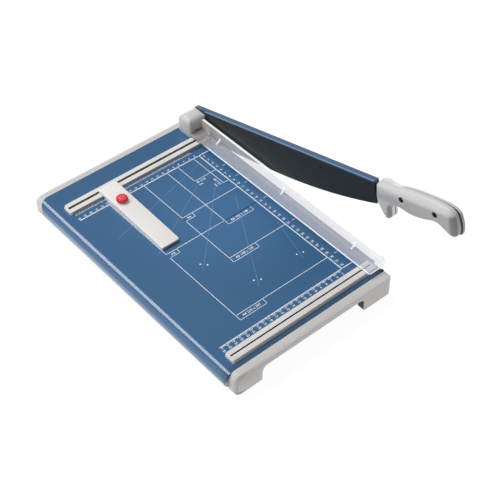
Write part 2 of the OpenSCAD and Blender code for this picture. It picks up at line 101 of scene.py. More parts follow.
class Surface:
    """A Principled material with large patches of tone, a fine grain in roughness and bump, and a lighter edge that is
    part wear and part painted highlight.
    """

    def __init__(
        self, name, ca, cb, rough=(0.4, 0.5), grain=900, bump=0.2, depth=0.05, patch=16, metal=0.0,
        spec=0.5, coat=0.0, coat_rough=0.18, stretch=None, turn=0.0, speck=0.06, edge=None, edge_r=0.5, round_r=0.0,
    ):
        self.m = bpy.data.materials.new(name)
        self.m.use_nodes = True
        nt = self.nt = self.m.node_tree
        b = self.b = nt.nodes["Principled BSDF"]
        self.co = nd(nt, "ShaderNodeTexCoord").outputs["Object"]
        at = self.co
        if turn:
            at = nd(nt, "ShaderNodeMapping", {0: at, 2: (turn, 0, 0)}).outputs[0]
        if stretch:
            at = nd(nt, "ShaderNodeMapping", {0: at, 3: stretch}).outputs[0]
        big = nd(nt, "ShaderNodeTexNoise", {"Vector": self.co, "Scale": patch, "Detail": 4.0, "Roughness": 0.6}).outputs[0]
        self.fine = nd(nt, "ShaderNodeTexNoise", {"Vector": at, "Scale": grain, "Detail": 3.0, "Roughness": 0.65}).outputs[0]
        col = mixc(nt, ramp(nt, big, 0.3, 0.7), ca, cb)
        dark = mixc(nt, 1.0, col, (0.62, 0.62, 0.64, 1), "MULTIPLY")
        col = mixc(nt, ramp(nt, self.fine, 0.45, 0.9, 0.0, speck * 4), col, dark)
        # lighter edges: part wear, part painted highlight
        if edge:
            bev = nd(nt, "ShaderNodeBevel", {0: edge_r / 1000}, samples=4).outputs[0]
            nrm = nd(nt, "ShaderNodeNewGeometry").outputs["Normal"]
            turned = nd(nt, "ShaderNodeVectorMath", {0: bev, 1: nrm}, operation="DOT_PRODUCT").outputs["Value"]
            wear_and_highlight = ramp(nt, turned, 0.99, 0.80)
            wear_and_highlight = maths(nt, "MULTIPLY", wear_and_highlight, ramp(nt, big, 0.4, 0.6, 0.35, 0.9))
            col = mixc(nt, wear_and_highlight, col, edge)
        self.col = col
        nt.links.new(col, b.inputs["Base Color"])
        nt.links.new(ramp(nt, self.fine, 0.25, 0.75, *rough), b.inputs["Roughness"])
        bump_n = nd(nt, "ShaderNodeBump", {"Strength": bump, "Distance": depth / 1000, "Height": self.fine})
        if round_r:
            nt.links.new(nd(nt, "ShaderNodeBevel", {0: round_r / 1000}, samples=4).outputs[0], bump_n.inputs["Normal"])
        nt.links.new(bump_n.outputs[0], b.inputs["Normal"])
        b.inputs["Metallic"].default_value = metal
        b.inputs["Specular IOR Level"].default_value = spec
        b.inputs["Coat Weight"].default_value = coat
        b.inputs["Coat Roughness"].default_value = coat_rough

    def axes(self):
        return nd(self.nt, "ShaderNodeSeparateXYZ", {0: self.co}).outputs

    def span(self, axis, a, b, soft):
        """1 where the coordinate lies between a and b (mm in metres already), with soft edges."""
        v = self.axes()[axis]
        return maths(self.nt, "MULTIPLY", ramp(self.nt, v, a - soft, a + soft), ramp(self.nt, v, b + soft, b - soft))

    def along(self, way, a, b):
        """0 to 1 as the distance along a direction goes from a to b."""
        d = nd(self.nt, "ShaderNodeVectorMath", {0: self.co, 1: way}, operation="DOT_PRODUCT").outputs["Value"]
        return ramp(self.nt, d, a, b)

    def tint(self, fac, colour):
        """Lays another colour over the base where fac is 1."""
        self.col = mixc(self.nt, fac, self.col, colour)
        self.nt.links.new(self.col, self.b.inputs["Base Color"])


def xm(v):
    return (v + 133) / 1000


def ym(v):
    return (v + 202) / 1000


def zm(v):
    return (v + 37) / 1000


M = {}

# enamelled steel table: fine orange peel, with painted shade making it a little darker towards the rear
s = Surface(
    "table_enamel", (0.033, 0.124, 0.262, 1), (0.028, 0.113, 0.246, 1), rough=(0.36, 0.48), grain=520, bump=0.06,
    depth=0.05, patch=7, speck=0.035, spec=0.2, coat=0.8, coat_rough=0.12, edge=(0.10, 0.21, 0.36, 1), edge_r=0.5,
)
# painted shade: darker towards the rear
s.tint(ramp(s.nt, s.axes()[1], ym(-60), ym(60), 0.0, 0.85), (0.0235, 0.098, 0.226, 1))
# painted shade on the strip between the front rail and the front cap
s.tint(ramp(s.nt, s.axes()[1], ym(-357.0), ym(-360.0), 0.0, 0.8), (0.024, 0.072, 0.140, 1))
# painted reflection: the middle of the table lighter; painted shade: its left part darker
far = nd(s.nt, "ShaderNodeVectorMath", {0: s.co, 1: (xm(-100), ym(-130), zm(0))}, operation="DISTANCE").outputs["Value"]
s.tint(ramp(s.nt, far, 0.165, 0.02, 0.0, 0.8), (0.041, 0.151, 0.330, 1))
edge_l = maths(s.nt, "MULTIPLY", ramp(s.nt, s.axes()[0], xm(-225), xm(-270)), ramp(s.nt, s.axes()[1], ym(-200), ym(-60), 0.25, 0.55))
s.tint(edge_l, (0.021, 0.101, 0.240, 1))
# painted reflection of the pale floor, lighter towards the bottom of the rolled edge
outer = ramp(s.nt, s.axes()[0], xm(-279), xm(-283))
s.tint(maths(s.nt, "MULTIPLY", outer, ramp(s.nt, s.axes()[2], zm(-5), zm(-10), 0.0, 0.30)), lin(160, 180, 206))
s.tint(maths(s.nt, "MULTIPLY", outer, ramp(s.nt, s.axes()[2], zm(-12), zm(-16.5), 0.0, 0.90)), lin(196, 198, 204))
M["table_blue"] = s.m

s = Surface(
    "cap_plastic", lin(203, 200, 198), lin(198, 195, 193), rough=(0.46, 0.62), grain=1500, bump=0.35, depth=0.06,
    patch=22, speck=0.05, spec=0.4, edge=lin(218, 218, 217), edge_r=0.6,
)
cx, cy, cz = s.axes()[0], s.axes()[1], s.axes()[2]
# painted highlight along the top front edge of the front cap
line = maths(s.nt, "MULTIPLY", ramp(s.nt, cy, ym(-377.7), ym(-378.2)), ramp(s.nt, cz, zm(-1.5), zm(-0.9)))
s.tint(maths(s.nt, "MULTIPLY", line, ramp(s.nt, cx, xm(-275), xm(-225), 0.0, 0.9)), lin(236, 234, 231))
# painted shade: the inner sides of the feet under the arch nearly black
inner = maths(s.nt, "ADD", s.span(0, xm(-67), xm(-50.6), 0.0002), s.span(0, xm(-234.4), xm(-218), 0.0002))
inner = maths(s.nt, "MULTIPLY", inner, ramp(s.nt, cz, zm(-11.6), zm(-12.4)))
s.tint(maths(s.nt, "MULTIPLY", inner, ramp(s.nt, cy, ym(-379.0), ym(-376.6))), (0.016, 0.018, 0.020, 1))
s.tint(ramp(s.nt, cy, ym(56.5), ym(57.6), 0.0, 0.35), lin(190, 192, 194))
M["cap_grey"] = s.m
s = Surface(
    "cover_plastic", lin(206, 205, 204), lin(200, 199, 199), rough=(0.40, 0.55), grain=1500, bump=0.3, depth=0.05,
    patch=30, speck=0.05, spec=0.42,
)
# painted shade on the lower front of the hood
low = maths(s.nt, "MULTIPLY", ramp(s.nt, s.axes()[2], zm(25), zm(13)), ramp(s.nt, s.axes()[1], ym(30.5), ym(27)))
s.tint(maths(s.nt, "MULTIPLY", low, ramp(s.nt, s.axes()[0], xm(-28), xm(-24))), lin(190, 186, 181))
M["cover_light"] = s.m
M["pad_rubber"] = Surface(
    "pad_rubber", (0.018, 0.018, 0.019, 1), (0.028, 0.028, 0.029, 1), rough=(0.7, 0.9), grain=2200, bump=0.5,
    depth=0.08, patch=60, spec=0.3,
).m
s = Surface(
    "knife_steel", (0.30, 0.35, 0.43, 1), (0.26, 0.31, 0.39, 1), rough=(0.28, 0.45), grain=60, bump=0.12, depth=0.02,
    patch=30, metal=0.9, stretch=(60, 1, 60), edge=(0.75, 0.76, 0.78, 1), edge_r=0.4,
)
M["knife_steel"] = s.m
M["fastener_steel"] = Surface(
    "zinc_fastener", (0.52, 0.53, 0.54, 1), (0.42, 0.43, 0.45, 1), rough=(0.28, 0.5), grain=1800, bump=0.25,
    depth=0.03, patch=140, metal=1.0, round_r=0.25,
).m
M["bracket_steel"] = Surface(
    "bracket_steel", (0.30, 0.31, 0.32, 1), (0.24, 0.25, 0.26, 1), rough=(0.38, 0.6), grain=1300, bump=0.35,
    depth=0.06, patch=40, metal=0.85, round_r=0.4,
).m
M["spring_steel"] = Surface(
    "spring_steel", (0.36, 0.36, 0.37, 1), (0.28, 0.28, 0.30, 1), rough=(0.25, 0.4), grain=1500, bump=0.15,
    depth=0.02, patch=120, metal=1.0,
).m
M["bearing_bronze"] = Surface(
    "bearing_bronze", (0.46, 0.29, 0.13, 1), (0.38, 0.24, 0.11, 1), rough=(0.3, 0.5), grain=1400, bump=0.25,
    depth=0.03, patch=90, metal=1.0,
).m

# pale stop rails, with painted shade inside the slot and on the front sides
s = Surface(
    "rail_coat", lin(223, 221, 219), lin(216, 214, 213), rough=(0.34, 0.5), grain=70, bump=0.12, depth=0.02, patch=26,
    stretch=(1, 60, 60), speck=0.07, spec=0.45, edge=lin(235, 233, 229), edge_r=0.5,
)
low = ramp(s.nt, s.axes()[2], zm(4.59), zm(4.52))
middle = s.span(0, xm(-262.6), xm(-11.8), 0.0001)
low = maths(s.nt, "MULTIPLY", low, middle)
# painted shade inside the slots
s.tint(maths(s.nt, "MULTIPLY", s.span(1, ym(9.9), ym(15.9), 0.0001), low), (0.28, 0.268, 0.25, 1))
s.tint(maths(s.nt, "MULTIPLY", s.span(1, ym(-350.0), ym(-346.0), 0.0001), low), (0.075, 0.068, 0.058, 1))
# painted shade on the front sides of the rails
s.tint(maths(s.nt, "MULTIPLY", s.span(1, ym(1.2), ym(2.95), 0.0002), middle), (0.33, 0.34, 0.35, 1))
s.tint(maths(s.nt, "MULTIPLY", s.span(1, ym(-358.8), ym(-356.7), 0.0002), middle), (0.50, 0.49, 0.48, 1))
M["rail_aluminium"] = s.m

# clear acrylic, a little hazy, with painted highlight and a painted glow on its edges, crest and gussets, and painted
# reflection and shade of the hood near the rear
s = Surface(
    "guard_acrylic", (0.80, 0.83, 0.90, 1), (0.77, 0.80, 0.88, 1), rough=(0.12, 0.22), grain=40, bump=0.03, depth=0.2,
    patch=9, speck=0.01, spec=0.5, coat=0.25, coat_rough=0.1,
)
gx, gy, gz = s.axes()[0], s.axes()[1], s.axes()[2]
wall = ramp(s.nt, gz, zm(9.3), zm(10.3))
clear = maths(s.nt, "ADD", maths(s.nt, "MULTIPLY", wall, 0.05), 0.265)
clear = maths(s.nt, "ADD", clear, ramp(s.nt, s.fine, 0.3, 0.7, -0.015, 0.015))
# painted highlight and glow: the crest of the wall and the left and front edges
crest = ramp(s.nt, gz, zm(25.4), zm(26.0))
rim = maths(s.nt, "MAXIMUM", ramp(s.nt, gx, xm(-28.8), xm(-29.1)), ramp(s.nt, gy, ym(-363.2), ym(-363.5)))
rim = maths(s.nt, "MULTIPLY", rim, ramp(s.nt, gz, zm(10.2), zm(9.4), 0.35, 1.0))
rim = maths(s.nt, "MULTIPLY", rim, ramp(s.nt, gy, ym(-24), ym(2), 1.0, 0.1))
# painted reflection and shade of the hood, blotchy, near the rear of the guard
reflection_blotches = nd(s.nt, "ShaderNodeTexNoise", {"Vector": s.co, "Scale": 120.0, "Detail": 3.0, "Roughness": 0.6}).outputs[0]
near = maths(s.nt, "MULTIPLY", ramp(s.nt, gy, ym(-32), ym(6)), ramp(s.nt, gz, zm(16), zm(9), 0.5, 1.0))
end = maths(s.nt, "MULTIPLY", ramp(s.nt, gy, ym(4), ym(13)), ramp(s.nt, gz, zm(24), zm(17)))
# painted highlight along the gusset lines
webs = 0.0
for y in (-313, -166, -20):
    webs = maths(s.nt, "ADD", webs, s.span(1, ym(y - 1.1), ym(y + 1.1), 0.0001))
webs = maths(s.nt, "MULTIPLY", webs, maths(s.nt, "MULTIPLY", ramp(s.nt, gx, xm(-6.3), xm(-6.6)), ramp(s.nt, gz, zm(9.3), zm(9.6))))
rim = maths(s.nt, "MAXIMUM", rim, maths(s.nt, "MULTIPLY", webs, 0.8))
s.tint(wall, (0.93, 0.94, 0.96, 1))
s.tint(maths(s.nt, "MULTIPLY", near, ramp(s.nt, reflection_blotches, 0.40, 0.62, 0.35, 0.95)), lin(166, 160, 154))
s.tint(maths(s.nt, "MULTIPLY", end, ramp(s.nt, reflection_blotches, 0.40, 0.62, 0.5, 0.95)), lin(158, 153, 148))
clear = maths(s.nt, "ADD", clear, maths(s.nt, "MULTIPLY", near, ramp(s.nt, reflection_blotches, 0.35, 0.65, 0.02, 0.16)))
clear = maths(s.nt, "ADD", clear, maths(s.nt, "MULTIPLY", end, ramp(s.nt, reflection_blotches, 0.35, 0.65, 0.22, 0.42)))
# painted highlight: the edges white
s.tint(rim, (0.93, 0.95, 0.99, 1))
clear = maths(s.nt, "ADD", clear, maths(s.nt, "MULTIPLY", crest, 0.45))
# painted glow on the wall, its crest and the edges, though no lamp is there
painted_glow = maths(s.nt, "MAXIMUM", maths(s.nt, "MULTIPLY", wall, 0.10), maths(s.nt, "MULTIPLY", crest, 0.36))
painted_glow = maths(s.nt, "MAXIMUM", painted_glow, maths(s.nt, "MULTIPLY", rim, 0.30))
s.nt.links.new(mixc(s.nt, painted_glow, (0, 0, 0, 1), (0.95, 0.97, 1.0, 1)), s.b.inputs["Emission Color"])
s.b.inputs["Emission Strength"].default_value = 1.0
clear = maths(s.nt, "MAXIMUM", clear, maths(s.nt, "MULTIPLY", rim, 0.93))
s.nt.links.new(clear, s.b.inputs["Alpha"])
s.b.inputs["IOR"].default_value = 1.49
M["guard_clear"] = s.m

s = Surface(
    "gauge_plastic", lin(233, 229, 227), lin(229, 225, 223), rough=(0.38, 0.52), grain=1400, bump=0.25, depth=0.05,
    patch=18, speck=0.03, spec=0.45,
)
# painted shade on the front end face
s.tint(maths(s.nt, "MULTIPLY", ramp(s.nt, s.axes()[1], ym(-137.9), ym(-138.6)), ramp(s.nt, s.axes()[2], zm(4.6), zm(4.1))), lin(148, 143, 134))
# painted highlight along the left edge
s.tint(ramp(s.nt, s.axes()[0], xm(-208.6), xm(-209.2)), lin(250, 249, 248))
M["gauge_plastic"] = s.m
s = Surface(
    "knob_plastic", (0.78, 0.052, 0.056, 1), (0.70, 0.042, 0.046, 1), rough=(0.36, 0.48), grain=1500, bump=0.25,
    depth=0.05, patch=60, speck=0.04, spec=0.3, coat=0.2, coat_rough=0.2, edge=(0.74, 0.12, 0.12, 1), edge_r=0.5,
)
# painted highlight: the top lighter round the centre
flat = nd(s.nt, "ShaderNodeVectorMath", {0: s.co, 1: (xm(-196.4), ym(-27.6), zm(16.3))}, operation="DISTANCE").outputs["Value"]
s.tint(ramp(s.nt, flat, 0.0052, 0.0040, 0.0, 0.3), (0.86, 0.16, 0.16, 1))
M["knob_red"] = s.m
s = Surface(
    "arm_enamel", (0.030, 0.098, 0.215, 1), (0.025, 0.084, 0.190, 1), rough=(0.36, 0.48), grain=600, bump=0.15,
    depth=0.05, patch=18, speck=0.04, spec=0.25, coat=0.7, coat_rough=0.1, edge=(0.09, 0.18, 0.31, 1), edge_r=0.4,
)
w_way, w_0 = (0, ST, CT), 0.246 * ST + 0.052 * CT
u_way, u_0 = (0, -CT, ST), -0.246 * CT + 0.052 * ST
# painted highlight on the near top edge, painted shade on the rest of the top
upper = s.along(w_way, w_0 + 0.0152, w_0 + 0.0158)
s.tint(maths(s.nt, "MULTIPLY", upper, s.along((1, 0, 0), xm(1.9), xm(2.9))), (0.046, 0.105, 0.205, 1))
s.tint(maths(s.nt, "MULTIPLY", upper, s.along((1, 0, 0), xm(2.6), xm(1.8))), lin(112, 136, 168))
# painted shade on the upper side face
side = maths(s.nt, "MULTIPLY", s.along((1, 0, 0), xm(1.0), xm(0.5)), s.along(w_way, w_0 + 0.0158, w_0 + 0.0152))
s.tint(side, (0.022, 0.060, 0.125, 1))
# painted shade: the rear end by the pivot grey
s.tint(s.along(u_way, u_0 + 0.012, u_0 + 0.006), lin(98, 102, 104))
M["arm_blue"] = s.m
s = Surface(
    "blade_steel", (0.0125, 0.0165, 0.0130, 1), (0.0100, 0.0132, 0.0104, 1), rough=(0.34, 0.5), grain=45, bump=0.12,
    depth=0.02, patch=24, metal=0.25, stretch=(30, 1, 30), turn=TILT, spec=0.5, edge=(0.22, 0.23, 0.24, 1), edge_r=0.25,
)
M["blade_steel"] = s.m
M["screw_black"] = Surface(
    "black_oxide", (0.020, 0.020, 0.021, 1), (0.030, 0.030, 0.031, 1), rough=(0.32, 0.5), grain=1800, bump=0.25,
    depth=0.03, patch=150, metal=0.6, round_r=0.2, edge=(0.16, 0.16, 0.165, 1), edge_r=0.25,
).m
s = Surface(
    "handle_plastic", lin(204, 203, 203), lin(199, 198, 198), rough=(0.42, 0.58), grain=1300, bump=0.35, depth=0.06,
    patch=24, speck=0.05, spec=0.42, coat=0.3, coat_rough=0.42,
)


def box_of(u0, u1, w0, w1):
    """1 beyond u1 and w1, fading to 0 at u0 and w0 (mm along and square to the arm)."""
    return maths(s.nt, "MULTIPLY", s.along(u_way, u_0 + u0 / 1000, u_0 + u1 / 1000), s.along(w_way, w_0 + w0 / 1000, w_0 + w1 / 1000))


def x_from(a, b):
    return s.along((1, 0, 0), xm(a), xm(b))


# painted shade: the lower part of the handle darker
s.tint(s.along(w_way, w_0 + 0.0125, w_0 + 0.0070), lin(174, 172, 173))
# painted highlight on the top lobe of the right half
lobe = maths(s.nt, "MULTIPLY", box_of(440, 426, 13.0, 14.2), x_from(8.5, 10.0))
s.tint(lobe, lin(226, 225, 224))
# painted shade: a dark band round the butt, then a painted lighter strip beyond it
butt = maths(s.nt, "MULTIPLY", box_of(520.5, 526, 11, 6), x_from(6.0, 3.6))
s.tint(maths(s.nt, "MULTIPLY", butt, 0.95), lin(128, 124, 120))
s.tint(maths(s.nt, "MULTIPLY", box_of(524, 528, 11, 6), x_from(5.0, 6.5)), lin(186, 184, 181))
in_hook = s.along(u_way, u_0 + 0.430, u_0 + 0.424)
# painted light on the outer face of the hook
face = maths(s.nt, "MULTIPLY", s.along(w_way, w_0 - 0.003, w_0 - 0.009), in_hook)
s.tint(maths(s.nt, "MULTIPLY", maths(s.nt, "MULTIPLY", face, x_from(-0.5, -2.2)), 0.8), lin(200, 199, 198))
# painted shadow at the step into the hook
hook = maths(s.nt, "MULTIPLY", box_of(403, 407, -10.5, -13.5), in_hook)
edge_in = maths(s.nt, "MULTIPLY", x_from(-2.3, -1.0), x_from(4.8, 3.0))
s.tint(maths(s.nt, "MULTIPLY", hook, maths(s.nt, "MULTIPLY", edge_in, 0.85)), lin(134, 130, 128))
# painted light on the recessed face inside the hook
wall_in = maths(s.nt, "MULTIPLY", box_of(406, 409, -15, -17.5), in_hook)
s.tint(maths(s.nt, "MULTIPLY", wall_in, x_from(3.2, 5.0)), lin(222, 220, 218))
# painted shade in the seam between the two halves
gap = s.span(0, xm(10.1), xm(11.2), 0.00015)
seam = maths(s.nt, "MAXIMUM", s.along(u_way, u_0 + 0.492, u_0 + 0.515), s.along(w_way, w_0 + 0.006, w_0 + 0.003))
s.tint(maths(s.nt, "MULTIPLY", maths(s.nt, "MULTIPLY", gap, s.along(u_way, u_0 + 0.434, u_0 + 0.440)), 0.75), lin(138, 135, 132))
s.tint(maths(s.nt, "MULTIPLY", seam, gap), lin(62, 58, 55))
M["handle_grey"] = s.m
M["print"] = Surface(
    "scale_print", (0.86, 0.91, 0.98, 1), (0.80, 0.86, 0.94, 1), rough=(0.45, 0.6), grain=900, bump=0.1, depth=0.01,
    patch=60, speck=0.05, spec=0.3,
).m
M["print_soft"] = Surface(
    "scale_print_soft", (0.22, 0.36, 0.58, 1), (0.17, 0.30, 0.52, 1), rough=(0.45, 0.6), grain=900, bump=0.1,
    depth=0.01, patch=40, speck=0.1, spec=0.3,
).m


# ---------------------------------------------------------------- mesh helpers


def round_poly(pts, step=8.0):
    """A polygon from corners (x, y, radius)."""
    out, n = [], len(pts)
    for i, (x, y, r) in enumerate(pts):
        p = Vector((x, y))
        if r <= 0:
            out.append(p)
            continue
        d1 = (Vector(pts[i - 1][:2]) - p).normalized()
        d2 = (Vector(pts[(i + 1) % n][:2]) - p).normalized()
        ang = d1.angle(d2)
        c = p + (d1 + d2).normalized() * (r / math.sin(ang / 2))
        a, b = p + d1 * (r / math.tan(ang / 2)) - c, p + d2 * (r / math.tan(ang / 2)) - c
        a0 = math.atan2(a.y, a.x)
        da = (math.atan2(b.y, b.x) - a0 + math.pi) % (2 * math.pi) - math.pi
        k = max(2, math.ceil(abs(math.degrees(da)) / step))
        out += [c + r * Vector((math.cos(a0 + da * j / k), math.sin(a0 + da * j / k))) for j in range(k + 1)]
    return out


def offset(poly, d):
    """The polygon moved inwards by d, one number or one per point."""
    n = len(poly)
    area = sum(poly[i - 1].x * poly[i].y - poly[i].x * poly[i - 1].y for i in range(n))
    sg = 1 if area > 0 else -1
    d = d if isinstance(d, (list, tuple)) else [d] * n
    out = []
    for i in range(n):
        e1 = (poly[i] - poly[i - 1]).normalized()
        e2 = (poly[(i + 1) % n] - poly[i]).normalized()
        n1, n2 = Vector((-e1.y, e1.x)) * sg, Vector((-e2.y, e2.x)) * sg
        out.append(poly[i] + (n1 + n2) / max(0.3, 1 + n1.dot(n2)) * d[i])
    return out


def solid(poly, lo, hi, f_lo, f_hi, place, n=5, groove=None):
    """A closed body: the polygon drawn out from lo to hi with rounded ends, radii per point if lists.
    groove is (weights, [(further inset, depth), ...]) and is sunk in the lo face."""
    k = len(poly)
    f_lo = f_lo if isinstance(f_lo, list) else [f_lo] * k
    f_hi = f_hi if isinstance(f_hi, list) else [f_hi] * k
    rings = []
    if groove:
        wt, steps = groove
        for more, deep in steps:
            rings.append(([f + more * w for f, w in zip(f_lo, wt)], [lo + deep * w for w in wt]))
    for i in range(n + 1):
        a = math.pi / 2 * i / n
        rings.append(([f * (1 - math.sin(a)) for f in f_lo], [lo + f * (1 - math.cos(a)) for f in f_lo]))
    for i in range(n, -1, -1):
        a = math.pi / 2 * i / n
        rings.append(([f * (1 - math.sin(a)) for f in f_hi], [hi - f * (1 - math.cos(a)) for f in f_hi]))
    verts = []
    for inset, at in rings:
        verts += [place(q.x, q.y, t) for q, t in zip(offset(poly, inset), at)]
    faces = [
        (r * k + i, r * k + (i + 1) % k, (r + 1) * k + (i + 1) % k, (r + 1) * k + i)
        for r in range(len(rings) - 1)
        for i in range(k)
    ]
    faces += [tuple(range(k)), tuple(range((len(rings) - 1) * k, len(rings) * k))]
    return verts, faces


def slab(x0, y0, z0, x1, y1, z1, f=0.4):
    """A block with rounded upright corners and softened ends."""
    poly = round_poly([(x0, y0, f), (x1, y0, f), (x1, y1, f), (x0, y1, f)], 30)
    return solid(poly, z0, z1, f * 0.8, f * 0.8, lambda x, y, t: P(x, y, t), n=2)


def lathe(profile, cx, cy, n=96, shape=None):
    """Turned about an upright axis; shape(radius, angle) may change the radius."""
    verts, faces = [], []
    for r, z in profile:
        for j in range(n):
            a = 2 * math.pi * j / n
            q = shape(r, a) if shape else r
            verts.append(P(cx + q * math.cos(a), cy + q * math.sin(a), z))
    for i in range(len(profile) - 1):
        for j in range(n):
            faces.append((i * n + j, i * n + (j + 1) % n, (i + 1) * n + (j + 1) % n, (i + 1) * n + j))
    faces += [tuple(range(n)), tuple(range((len(profile) - 1) * n, len(profile) * n))]
    return verts, faces


def join(parts):
    verts, faces = [], []
    for v, f in parts:
        k = len(verts)
        verts += v
        faces += [tuple(i + k for i in q) for q in f]
    return verts, faces


def tidy(me, sharp=32, merge=2e-6):
    bm = bmesh.new()
    bm.from_mesh(me)
    if merge:
        bmesh.ops.remove_doubles(bm, verts=bm.verts, dist=merge)
        bmesh.ops.dissolve_degenerate(bm, edges=bm.edges, dist=1e-6)
    bmesh.ops.recalc_face_normals(bm, faces=bm.faces)
    for f in bm.faces:
        f.smooth = True
    bm.to_mesh(me)
    bm.free()
    me.set_sharp_from_angle(angle=math.radians(sharp))


def raw(name, parts, sharp=32):
    verts, faces = parts
    me = bpy.data.meshes.new(name)
    me.from_pydata([tuple(v) for v in verts], [], faces)
    tidy(me, sharp)
    ob = bpy.data.objects.new(name, me)
    scene.collection.objects.link(ob)
    return ob


def baked(ob, sharp=32):
    """Turns an object's modifiers into its mesh."""
    bpy.context.view_layer.update()
    me = bpy.data.meshes.new_from_object(ob.evaluated_get(bpy.context.evaluated_depsgraph_get()))
    ob.modifiers.clear()
    old = ob.data
    ob.data = me
    bpy.data.meshes.remove(old)
    tidy(me, sharp)
    return ob


def drop(ob):
    me = ob.data
    bpy.data.objects.remove(ob)
    bpy.data.meshes.remove(me)


def cut(ob, cutters, sharp=32, op="DIFFERENCE"):
    for c in cutters:
        m = ob.modifiers.new("cut", "BOOLEAN")
        m.operation, m.solver, m.object = op, "EXACT", c
    baked(ob, sharp)
    for c in cutters:
        drop(c)
    return ob


def block(name, x0, y0, z0, x1, y1, z1):
    v = [P(x, y, z) for x in (x0, x1) for y in (y0, y1) for z in (z0, z1)]
    return raw(name, (v, [(0, 1, 3, 2), (4, 6, 7, 5), (0, 4, 5, 1), (2, 3, 7, 6), (0, 2, 6, 4), (1, 5, 7, 3)]))


def dress(ob, body, mat, replaced=()):
    ob.data.materials.clear()
    ob.data.materials.append(mat)
    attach(ob, body)
    if replaced:
        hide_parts(*replaced)
    return ob


smooth_group = bpy.data.node_groups.new("shade_smooth", "GeometryNodeTree")
smooth_group.interface.new_socket("Geometry", in_out="INPUT", socket_type="NodeSocketGeometry")
smooth_group.interface.new_socket("Geometry", in_out="OUTPUT", socket_type="NodeSocketGeometry")
g_in = smooth_group.nodes.new("NodeGroupInput")
g_sm = smooth_group.nodes.new("GeometryNodeSetShadeSmooth")
g_out = smooth_group.nodes.new("NodeGroupOutput")
smooth_group.links.new(g_in.outputs[0], g_sm.inputs["Geometry"])
smooth_group.links.new(g_sm.outputs[0], g_out.inputs[0])


def crisp(node, mat, width=0.3, segs=2, angle=38):
    """A CAD node that stays: its finish, and a small radius on its edges."""
    ob = nodes[node]
    ob.material_slots[0].material = mat
    if width:
        w = ob.modifiers.new("weld", "WELD")
        w.merge_threshold = 2e-6
        d = ob.modifiers.new("flat", "DECIMATE")
        d.decimate_type, d.angle_limit = "DISSOLVE", math.radians(0.3)
        b = ob.modifiers.new("edge", "BEVEL")
        b.width, b.segments, b.limit_method, b.angle_limit = width / 1000, segs, "ANGLE", math.radians(angle)
        b.use_clamp_overlap = False
        ob.modifiers.new("smooth", "NODES").node_group = smooth_group
        n = ob.modifiers.new("shade", "WEIGHTED_NORMAL")
        n.keep_sharp = True


# ---------------------------------------------------------------- table

CORNER = [(-289, 43), (-286.2, 47.8), (-283.5, 51.8), (-279.5, 55.2), (-272, 57.7)]


def y_in(x):
    """The table's rear edge at its rolled corner."""
    if x >= -272:
        return 57.7
    for (x0, y0), (x1, y1) in zip(CORNER, CORNER[1:]):
        if x <= x1:
            t = (x - x0) / (x1 - x0)
            return y0 + t * (y1 - y0)
    return 57.7


def arc(cx, cz, r, a0, a1, n):
    return [
        (cx + r * math.cos(math.radians(a0 + (a1 - a0) * i / n)), cz + r * math.sin(math.radians(a0 + (a1 - a0) * i / n)))
        for i in range(n + 1)
    ]


def bent(path, t, y0, y1):
    """Sheet of thickness t, bent along path (x, z); y0 and y1 are numbers or functions of x."""
    n = len(path)
    inner = []
    for i, (x, z) in enumerate(path):
        a, b = Vector(path[max(i - 1, 0)]), Vector(path[min(i + 1, n - 1)])
        e1 = (Vector(path[i]) - a).normalized() if i else (b - Vector(path[i])).normalized()
        e2 = (b - Vector(path[i])).normalized() if i < n - 1 else e1
        n1, n2 = Vector((-e1.y, e1.x)), Vector((-e2.y, e2.x))
        inner.append(tuple(Vector(path[i]) + (n1 + n2) / (1 + n1.dot(n2)) * t))
    verts = []
    for x, z in list(path) + inner:
        for y in (y0, y1):
            verts.append(P(x, y(x) if callable(y) else y, z))
    faces = []
    for i in range(n - 1):
        o, q = 2 * i, 2 * (n + i)
        faces += [(o, o + 2, o + 3, o + 1), (q, q + 1, q + 3, q + 2), (o, q, q + 2, o + 2), (o + 1, o + 3, q + 3, q + 1)]
    e = 2 * (n - 1)
    faces += [(0, 1, 2 * n + 1, 2 * n), (e, e + 2 * n, e + 2 * n + 1, e + 1)]
    return verts, faces


top = [(-8.2, -24), (-8.2, -3)] + arc(-9.8, -1.6, 1.6, 0, 90, 6) + [(-100, 0), (-200, 0), (-272, 0)]
top += arc(-275.5, -12.5, 12.5, 90, 180, 22) + arc(-275.5, -12.9, 12.5, 180, 270, 16)[1:] + [(-272, -25.4), (-258, -25.4)]
tab = [(-3.2, -22), (-3.2, -3)] + arc(-4.8, -1.6, 1.6, 0, 90, 6) + [(-9.75, 0)]
plate = raw("table_sheet", join([
    bent(top, 1.5, -366.6, y_in),
    bent(tab, 1.5, -366.6, -345.6),
    bent(tab, 1.5, 27.6, 57.7),
]), 40)
dress(plate, "base", M["table_blue"], ["table_plate"])

# blanking plug in the open front end of the roll
roll_in = [Vector(q) for q in arc(-275.5, -12.5, 11.4, 90, 180, 20) + arc(-275.5, -12.9, 11.4, 180, 270, 20)]
roll_in += [Vector((-262, -24.3)), Vector((-262, -1.1))]
plug = raw("roll_plug", solid(roll_in, -366.2, -360, 0.4, 0.2, lambda x, z, q: P(x, q, z), n=3))
dress(plug, "base", M["table_blue"])

